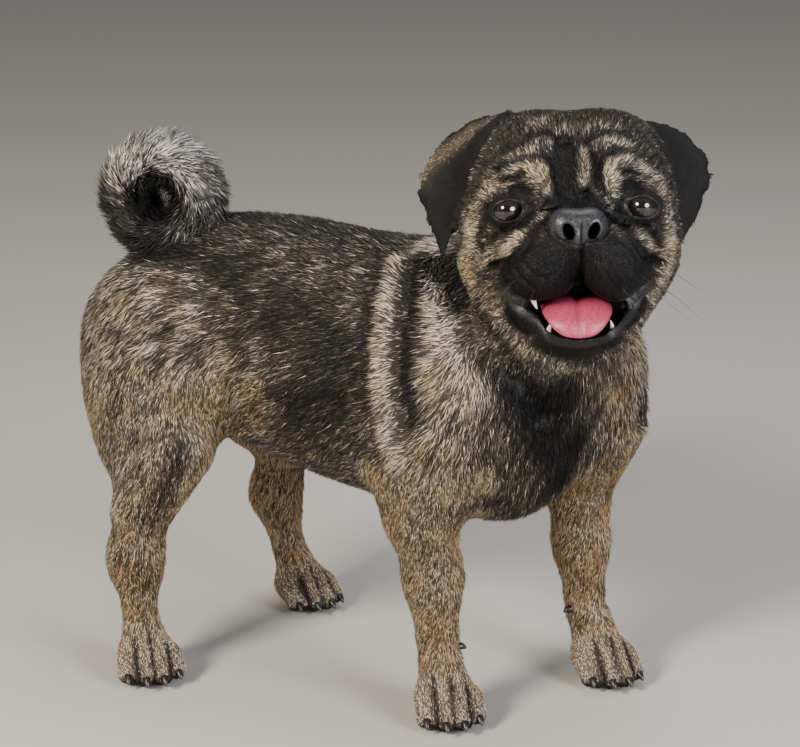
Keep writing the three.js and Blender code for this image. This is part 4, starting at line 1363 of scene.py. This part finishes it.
# the skin between the hairs is darkened: painted shade of the coat over it
grain_shade = ramp(skin_material, grain.outputs["Fac"], [(0.35, "#3a352f"), (0.7, "#8a8278")])
under_pale = mix(skin_material, 1.0, under, grain_shade, "MULTIPLY")
under_dark = ramp(skin_material, blotch.outputs["Fac"], [(0.3, "#080707"), (0.7, "#12100f")])
furred = mix(skin_material, attribute(skin_material, "pale"), under_dark, under_pale)
leather = ramp(skin_material, grain.outputs["Fac"], [(0.3, "#0d0c0c"), (0.75, "#1c1a1b")])
covered = mix(skin_material, attribute(skin_material, "bare"), furred, leather)
gums = ramp(skin_material, blotch.outputs["Fac"], [(0.3, "#0f0708"), (0.7, "#2a1315")])
all_over = mix(skin_material, attribute(skin_material, "mouth"), covered, gums)
put(skin_material, shader, "Base_Color", all_over)
bareness = attribute(skin_material, "bare")
wet = node(skin_material, "ShaderNodeMapRange", Value=bareness, To_Min=0.7, To_Max=0.4)
put(skin_material, shader, "Roughness", wet.outputs["Result"])
shader.inputs["Specular IOR Level"].default_value = 0.25
bump = node(skin_material, "ShaderNodeBump", Strength=0.6, Distance=0.35 * MM, Height=grain.outputs["Fac"])
put(skin_material, shader, "Normal", bump.outputs["Normal"])
skin.data.materials.append(skin_material)
make_active(skin)
bpy.ops.object.shade_smooth()
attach(skin, "root")
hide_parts(*FLESH)

# %% [markdown]
# ## Eyes
# A pug's eyes are large, round and nearly all dark iris. The ball is a sphere with a slight bulge for
# the cornea. It looks at the camera, as in the photograph, so its rings are drawn round that direction:
# a black pupil, a dark brown iris with fine fibres, and the black ring where the iris ends. Tears give
# it a clear, mirror-smooth coat.

# %% Model the eyes
GAZE = unit(np.array([[1.0, -0.08, 0.08]]))[0]
CORNEA = {"reach": 0.62, "bulge": 0.055}  # radians from the gaze, share of the radius
PUPIL, IRIS, LIMBUS = 0.25, 0.60, 0.72  # radians from the gaze

eye_material, shader = new_material("moist eye of a dog")
ring = attribute(eye_material, "ring")
place = node(eye_material, "ShaderNodeTexCoord").outputs["Object"]
fibres = node(eye_material, "ShaderNodeTexNoise", Vector=place, Scale=900.0, Detail=2.0)
rings = ramp(
    eye_material,
    ring,
    [(0.0, "#050404"), (PUPIL * 0.85, "#070505"), (PUPIL * 1.15, "#1f1713"), (IRIS * 0.8, "#241c19"),
     (IRIS, "#140d0a"), (LIMBUS, "#0b0808"), (0.85, "#150e0c")],
)
light_fibres = ramp(eye_material, fibres.outputs["Fac"], [(0.35, "#9a8f88"), (0.7, "#ffffff")])
put(eye_material, shader, "Base_Color", mix(eye_material, 1.0, rings, light_fibres, "MULTIPLY"))
shader.inputs["Roughness"].default_value = 0.12
shader.inputs["IOR"].default_value = 1.38
shader.inputs["Coat Weight"].default_value = 1.0
shader.inputs["Coat Roughness"].default_value = 0.02

for name, side in (("right", -1), ("left", 1)):
    bpy.ops.object.select_all(action="DESELECT")
    bpy.ops.mesh.primitive_uv_sphere_add(segments=64, ring_count=48, radius=1.0)
    eye = bpy.context.active_object
    eye.name = f"eyeball_{name}"
    ball = read_points(eye)
    away = np.arccos(np.clip(ball @ GAZE, -1, 1))
    ball = ball * (1 + CORNEA["bulge"] * (1 - smoothstep(away, 0.0, CORNEA["reach"])))[:, None]
    write_points(eye, from_head(ball * (EYE["radius"] - 0.1) + np.array([EYE["x"], side * EYE["y"], 0])))
    add_attribute(eye, "ring", away)
    bpy.ops.object.shade_smooth()
    eye.data.materials.append(eye_material)
    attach(eye, "root")
    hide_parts(f"eye_{name}")
print("eyes at", EYE, "in the head's frame, mm")

# %% [markdown]
# ## Nose leather
# The nose is bare, cool and pebbled. A fine sphere is pushed out along its own rays onto the nose's
# field, and then the nostrils, the slits beside them and the groove between them are sunk from the
# front.

# %% Model the nose leather
SLIT = fine_line([(8.4, -16.2), (11, -16.6), (13.6, -15.0), (15.4, -11.8)])
bpy.ops.object.select_all(action="DESELECT")
bpy.ops.mesh.primitive_uv_sphere_add(segments=160, ring_count=96, radius=1.0)
nose = bpy.context.active_object
nose.name = "nose_leather"
rays = read_points(nose)
middle = np.array([NOSE["x"], 0.0, NOSE["z"]])
near, far = np.zeros(len(rays)), np.full(len(rays), 30.0)
for _ in range(22):
    half = (near + far) / 2
    inside = nose_field(middle + rays * half[:, None]) < 0
    near, far = np.where(inside, half, near), np.where(inside, far, half)
leather_points = middle + rays * near[:, None]
y, z = np.abs(leather_points[:, 1] - NOSE_MIDDLE), leather_points[:, 2]
front = smoothstep(rays[:, 0], 0.05, 0.3)
out = nostril_share(leather_points)
hole = 1 - smoothstep(out, 0.62, 1.12)
rim = 0.3 * bell(out - 1.45, 0.3)
slit = bell(distance_to_line(np.column_stack([y, z]), SLIT), 1.0)
groove = bell(leather_points[:, 1] - NOSE_MIDDLE, 0.8) * smoothstep(-z, 3, 8)
sunk = NOSTRIL["deep"] * hole + 1.5 * slit * (1 - hole) + 1.1 * groove - rim
leather_points[:, 0] -= sunk * front
write_points(nose, from_head(leather_points))
# the nostrils, their rim, the slits and the middle groove are painted nearly black: painted shade in the
# hollows
nostril_rim_shade = smoothstep(-out, -1.3, -1.05)
add_attribute(nose, "deep", np.clip(hole + 0.8 * nostril_rim_shade + 0.6 * slit + 0.7 * groove, 0, 1) * front)
bpy.ops.object.shade_smooth()

PEBBLE = 1.0 * MM
nose_material, shader = new_material("pebbled nose leather")
place = node(nose_material, "ShaderNodeTexCoord").outputs["Object"]
soft_cells = {"feature": "SMOOTH_F1"}
pebbles = node(nose_material, "ShaderNodeTexVoronoi", soft_cells, Vector=place, Scale=1 / PEBBLE)
# lighter on the top of each pebble and darker in the cracks between them: painted highlight and painted
# shade
pebble_highlight_and_crevice_shade = ramp(nose_material, pebbles.outputs["Distance"], [(0.1, "#353539"), (0.7, "#131315")])
# deep carries the painted shade of the nostrils, slits and groove: nearly black, matt and without gloss
deep = attribute(nose_material, "deep")
put(nose_material, shader, "Base_Color", mix(nose_material, deep, pebble_highlight_and_crevice_shade, colour("#010101")))
matt = node(nose_material, "ShaderNodeMapRange", Value=deep, To_Min=0.36, To_Max=1.0)
put(nose_material, shader, "Roughness", matt.outputs["Result"])
dim = node(nose_material, "ShaderNodeMapRange", Value=deep, To_Min=0.5, To_Max=0.0)
put(nose_material, shader, "Specular_IOR_Level", dim.outputs["Result"])
bump = node(
    nose_material,
    "ShaderNodeBump",
    {"invert": True},
    Strength=0.7,
    Distance=0.25 * MM,
    Height=pebbles.outputs["Distance"],
)
put(nose_material, shader, "Normal", bump.outputs["Normal"])
nose.data.materials.append(nose_material)
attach(nose, "root")
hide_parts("nose")

# %% [markdown]
# ## Tongue and teeth
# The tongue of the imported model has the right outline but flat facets. A copy of it is merged and
# subdivided, and a groove is pressed in along its middle. It is wet muscle, so it lets a little light
# in and shines softly.

# %% Model the tongue
TONGUE_ROUND = {"from": -56.0, "drop": 19.0, "half": 22.3, "tip_half": 16.5, "hang": 2.2}
tongue = bpy.data.objects.new("wet_tongue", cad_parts["tongue"].data.copy())
bpy.context.scene.collection.objects.link(tongue)
tongue.data.materials.clear()
make_active(tongue)
bpy.ops.object.mode_set(mode="EDIT")
bpy.ops.mesh.select_all(action="SELECT")
bpy.ops.mesh.remove_doubles(threshold=0.05 * MM)
bpy.ops.object.mode_set(mode="OBJECT")
apply_modifier(tongue, "SUBSURF", levels=2, render_levels=2)
flesh = to_head(read_points(tongue))
hanging = flesh[:, 2] < TONGUE_ROUND["from"]
drop = (TONGUE_ROUND["from"] - flesh[hanging, 2]) / TONGUE_ROUND["drop"]
widest = TONGUE_ROUND["half"] - (TONGUE_ROUND["half"] - TONGUE_ROUND["tip_half"]) * drop
rounded = TONGUE_ROUND["half"] * np.sqrt(np.clip(1 - 0.97 * drop**2.4, 0, 1))
flesh[hanging, 1] *= rounded / widest
flesh[hanging, 2] -= TONGUE_ROUND["hang"] * drop
write_points(tongue, from_head(flesh))
tongue_normals = read_normals(tongue)
upper = smoothstep(tongue_normals @ (head_turn @ np.array([0.8, 0, 0.6])), 0.1, 0.6)
groove = bell(flesh[:, 1] - 0.4 * np.sin(flesh[:, 2] / 4), 1.3) * upper
pressed = 1.1 * groove + 0.25 * np.sin(flesh[:, 2] * 0.5) * upper
write_points(tongue, read_points(tongue) - tongue_normals * (pressed * MM)[:, None])
# the groove and the back of the tongue, deeper in the mouth, are darker: painted shade
add_attribute(tongue, "groove", groove)
add_attribute(tongue, "back", smoothstep(flesh[:, 2], -62, -46))
bpy.ops.object.shade_smooth()

tongue_material, shader = new_material("wet tongue")
place = node(tongue_material, "ShaderNodeTexCoord").outputs["Object"]
buds = node(tongue_material, "ShaderNodeTexNoise", Vector=place, Scale=900.0, Detail=2.0)
flush = ramp(tongue_material, buds.outputs["Fac"], [(0.35, "#8c2f42"), (0.7, "#a94659")])
# darker in the groove and towards the back of the mouth: painted shade
groove_shaded = mix(tongue_material, attribute(tongue_material, "groove"), flush, colour("#8c3246"))
all_over = mix(tongue_material, attribute(tongue_material, "back"), groove_shaded, colour("#4a1a22"))
put(tongue_material, shader, "Base_Color", all_over)
shader.inputs["Roughness"].default_value = 0.45
shader.inputs["Subsurface Weight"].default_value = 0.15
shader.inputs["Subsurface Radius"].default_value = (0.004, 0.0015, 0.001)
bump = node(tongue_material, "ShaderNodeBump", Strength=0.4, Distance=0.2 * MM, Height=buds.outputs["Fac"])
put(tongue_material, shader, "Normal", bump.outputs["Normal"])
tongue.data.materials.append(tongue_material)
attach(tongue, "root")
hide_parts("tongue")

# %% [markdown]
# One horn shape serves for teeth and claws: a cone with rings along it, bowed by moving the middle
# rings the most, and rounded off at its tip.


# %% A horn for teeth and claws
def horn(name, root, tip, radius, blunt, bend):
    """A tapering horn from root to tip in metres, bent towards the vector bend, which is also in metres."""
    bpy.ops.object.select_all(action="DESELECT")
    bpy.ops.mesh.primitive_cone_add(vertices=20, radius1=1.0, radius2=blunt, depth=1.0, location=(0, 0, 0.5))
    piece = bpy.context.active_object
    piece.name = name
    bpy.ops.object.transform_apply(location=True, rotation=True, scale=True)
    bpy.ops.object.mode_set(mode="EDIT")
    bpy.ops.mesh.select_all(action="SELECT")
    bpy.ops.mesh.subdivide(number_cuts=5, quadcorner="INNERVERT")
    bpy.ops.object.mode_set(mode="OBJECT")
    shape = read_points(piece)
    u = shape[:, 2:]
    belly = 1 + 0.35 * u * (1 - u)
    rounded = np.sqrt(np.clip(1 - ((u - 0.8) / 0.2) ** 2, 0.0, 1)) * (u > 0.8) + (u <= 0.8)
    axis = np.array(tip) - np.array(root)
    length = np.linalg.norm(axis)
    along_axis = axis / length
    sideways = np.cross(along_axis, [0, 0, 1.0])
    sideways /= np.linalg.norm(sideways)
    other = np.cross(sideways, along_axis)
    placed = np.array(root) + u * axis + 4 * u * (1 - u) * np.array(bend)
    spread = shape[:, :1] * sideways + shape[:, 1:2] * other
    placed = placed + spread * radius * belly * (0.25 + 0.75 * rounded)
    write_points(piece, placed)
    add_attribute(piece, "along", u[:, 0])
    bpy.ops.object.mode_set(mode="EDIT")
    bpy.ops.mesh.select_all(action="SELECT")
    bpy.ops.mesh.normals_make_consistent(inside=False)
    bpy.ops.object.mode_set(mode="OBJECT")
    bpy.ops.object.shade_smooth_by_angle(angle=math.radians(50))
    return piece


def join(pieces, name):
    bpy.ops.object.select_all(action="DESELECT")
    for piece in pieces:
        piece.select_set(True)
    bpy.context.view_layer.objects.active = pieces[0]
    bpy.ops.object.join()
    pieces[0].name = name
    return pieces[0]


# %% [markdown]
# Only three canines show: the two lower ones beside the tongue, and the upper right one in the shade of
# the lip.

# %% Canines
# (root, tip, radius, bend) in the head's frame, millimetres
CANINES = [
    ((7.5, -18.0, -75), (10.0, -15.0, -65.5), 2.3, (0.5, -0.6, 0)),
    ((6.0, 20.5, -73), (8.0, 19.3, -66.0), 1.9, (0.5, 0.5, 0)),
    ((7.0, -26.5, -50), (8.5, -24.0, -58.5), 2.4, (0.4, -0.4, 0)),
]
teeth = []
for i, (root, tip, radius, bend) in enumerate(CANINES):
    bend_by = head_turn @ np.array(bend) * MM
    gum, point = from_head(np.array(root)), from_head(np.array(tip))
    teeth.append(horn(f"tooth_{i}", gum, point, radius * MM, 0.12, bend_by))
teeth = join(teeth, "canines")
tooth_material, shader = new_material("ivory tooth enamel")
ENAMEL = [(0.0, "#7d6b4e"), (0.5, "#c9bb9c"), (1.0, "#e6dcc6")]  # from the gum to the point
worn = ramp(tooth_material, attribute(tooth_material, "along"), ENAMEL)
put(tooth_material, shader, "Base_Color", worn)
shader.inputs["Roughness"].default_value = 0.25
shader.inputs["IOR"].default_value = 1.62
teeth.data.materials.append(tooth_material)
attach(teeth, "root")

# %% [markdown]
# ## Claws
# A dog's claw is a short, thick, blunt horn of keratin that curves down to the ground. Each one starts
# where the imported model's claw starts and heads for its tip, but is thicker and stops earlier, as on
# the real foot. The two dewclaws sit on the inner side of the front legs.

# %% Model the claws
CLAW_RADIUS, CLAW_REACH = 2.9 * MM, 0.86
DEWCLAW_HEIGHT = 44.0  # millimetres over the floor, in the middle of the shin
claw_material, shader = new_material("black claw keratin")
HORN_COLOURS = [(0.0, "#1b1715"), (0.6, "#100e0d"), (1.0, "#3a3029")]  # from the root to the worn tip
length_wise = ramp(claw_material, attribute(claw_material, "along"), HORN_COLOURS)
put(claw_material, shader, "Base_Color", length_wise)
place = node(claw_material, "ShaderNodeTexCoord").outputs["Object"]
growth = node(claw_material, "ShaderNodeTexNoise", Vector=place, Scale=1400.0, Detail=2.0)
bump = node(claw_material, "ShaderNodeBump", Strength=0.3, Distance=0.1 * MM, Height=growth.outputs["Fac"])
put(claw_material, shader, "Normal", bump.outputs["Normal"])
shader.inputs["Roughness"].default_value = 0.36
for name in [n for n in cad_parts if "claw" in n]:
    foot = "_".join(name.split("_")[1:3])
    verts = np.array([v.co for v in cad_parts[name].data.vertices])
    middle = verts.mean(axis=0)
    if name.startswith("claw"):
        ahead = to_foot(verts, foot)[:, 0]
    else:
        shin_middle = from_foot(np.array([[0, 0, DEWCLAW_HEIGHT]]), foot)
        ahead = (verts - shin_middle) @ unit(middle - shin_middle)[0]
    tip, root = verts[ahead.argmax()], verts[ahead < np.quantile(ahead, 0.3)].mean(axis=0)
    claw = horn(f"{name}_horn", root, root + (tip - root) * CLAW_REACH, CLAW_RADIUS, 0.3, (0, 0, 0.8 * MM))
    claw.data.materials.append(claw_material)
    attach(claw, "root")
    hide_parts(name)
print("claws:", sum("claw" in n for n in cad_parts))

# %% [markdown]
# ## Whiskers
# A pug has a few thin, short whiskers on the muzzle and cheeks. Each is a three-sided thread that
# droops a little.

# %% Model the whiskers
WHISKERS = [  # root and direction in the head's frame, for the right side; length in millimetres
    ((13, -26, -34), (0.5, -0.8, -0.25), 26),
    ((11, -31, -39), (0.3, -0.9, -0.4), 30),
    ((6, -36, -44), (0.1, -0.9, -0.5), 32),
    ((14, -20, -40), (0.7, -0.6, -0.5), 20),
    ((-2, -46, -46), (-0.1, -0.9, -0.5), 34),
    ((-14, -56, -40), (0.1, -0.9, -0.4), 22),
    ((10, -16, -84), (0.6, -0.4, -0.8), 14),
]
THREAD = np.array([(math.cos(a), math.sin(a)) for a in (0.0, 2.1, 4.2)])
STEPS = 7
threads, thread_faces = [], []
for side in (1, -1):
    for root, heading, length in WHISKERS:
        u = np.linspace(0, 1, STEPS)
        start = np.array(root) * np.array([1, side, 1.0])
        line = start + np.outer(u, np.array(heading) * np.array([1, side, 1.0])) * length
        line[:, 2] -= 0.22 * length * u**2
        across = unit(np.cross(np.gradient(line, axis=0), [0.3, 0.1, 1.0]))
        over = unit(np.cross(across, np.gradient(line, axis=0)))
        radius = (0.26 * (1 - u) + 0.04)[:, None, None]
        around = THREAD[None, :, :1] * across[:, None] + THREAD[None, :, 1:] * over[:, None]
        rings = line[:, None] + radius * around
        base = len(threads) * STEPS * 3
        threads.append(from_head(rings.reshape(-1, 3)))
        for i in range(STEPS - 1):
            for j in range(3):
                a, b = base + 3 * i + j, base + 3 * i + (j + 1) % 3
                thread_faces += [(a, b, b + 3), (a, b + 3, a + 3)]
        end = base + 3 * (STEPS - 1)
        thread_faces += [(base + 2, base + 1, base), (end, end + 1, end + 2)]
whiskers = mesh_of("whiskers", np.vstack(threads), np.array(thread_faces))
whisker_material, shader = new_material("whisker keratin")
place = node(whisker_material, "ShaderNodeTexCoord").outputs["Object"]
shade = node(whisker_material, "ShaderNodeTexNoise", Vector=place, Scale=60.0)
keratin = ramp(whisker_material, shade.outputs["Fac"], [(0.3, "#191716"), (0.7, "#4a443e")])
put(whisker_material, shader, "Base_Color", keratin)
shader.inputs["Roughness"].default_value = 0.4
whiskers.data.materials.append(whisker_material)
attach(whiskers, "root")


# %% [markdown]
# ## Studio
# The animal stands on a plain pale floor that runs on far behind it. One large soft light comes from
# the upper left, as in the photograph, a second one fills the right, a faint one lies over the back,
# and a pale sky fills the shadows.

# %% Floor, lights and camera
FLOOR_SIZE = 40.0
bpy.ops.object.select_all(action="DESELECT")
bpy.ops.mesh.primitive_plane_add(size=FLOOR_SIZE, location=(0, 0, 0))
floor = bpy.context.active_object
floor.name = "floor"
floor_material, shader = new_material("matt pale studio paper")
shader.inputs["Base Color"].default_value = colour("#b5b2ac")
shader.inputs["Roughness"].default_value = 0.7
floor.data.materials.append(floor_material)


def area_light(name, place, target, size, watts, hex_value):
    light = bpy.data.lights.new(name, "AREA")
    light.shape = "DISK"
    light.size = size
    light.energy = watts
    light.color = colour(hex_value)[:3]
    lamp = bpy.data.objects.new(name, light)
    bpy.context.scene.collection.objects.link(lamp)
    lamp.location = place
    lamp.rotation_euler = (Vector(target) - Vector(place)).to_track_quat("-Z", "Y").to_euler()


area_light("key", (-0.4, -2.1, 1.3), (0, 0, 0.2), 0.7, 106, "#fff6ea")
area_light("fill", (2.3, -0.8, 0.9), (0, 0, 0.2), 1.2, 92, "#f6f6ff")
area_light("top", (0.1, 0.5, 2.2), (0, 0, 0.2), 1.4, 16, "#ffffff")
world = bpy.data.worlds.new("pale room")
world.use_nodes = True
world.node_tree.nodes["Background"].inputs["Color"].default_value = colour("#dcdcda")
world.node_tree.nodes["Background"].inputs["Strength"].default_value = 0.4
bpy.context.scene.world = world

CAMERA_PLACE = (752.5, -1282.5, 585.0)  # millimetres, in the body's frame
CAMERA_TARGET = (18.0, 0.0, 210.0)
camera_data = bpy.data.cameras.new("photo view")
camera_data.lens = 105.0
camera_data.sensor_width = 36.0
camera = bpy.data.objects.new("photo view", camera_data)
bpy.context.scene.collection.objects.link(camera)
place, target = Vector(from_body(CAMERA_PLACE)), Vector(from_body(CAMERA_TARGET))
camera.location = place
camera.rotation_euler = (target - place).to_track_quat("-Z", "Y").to_euler()
bpy.context.scene.camera = camera
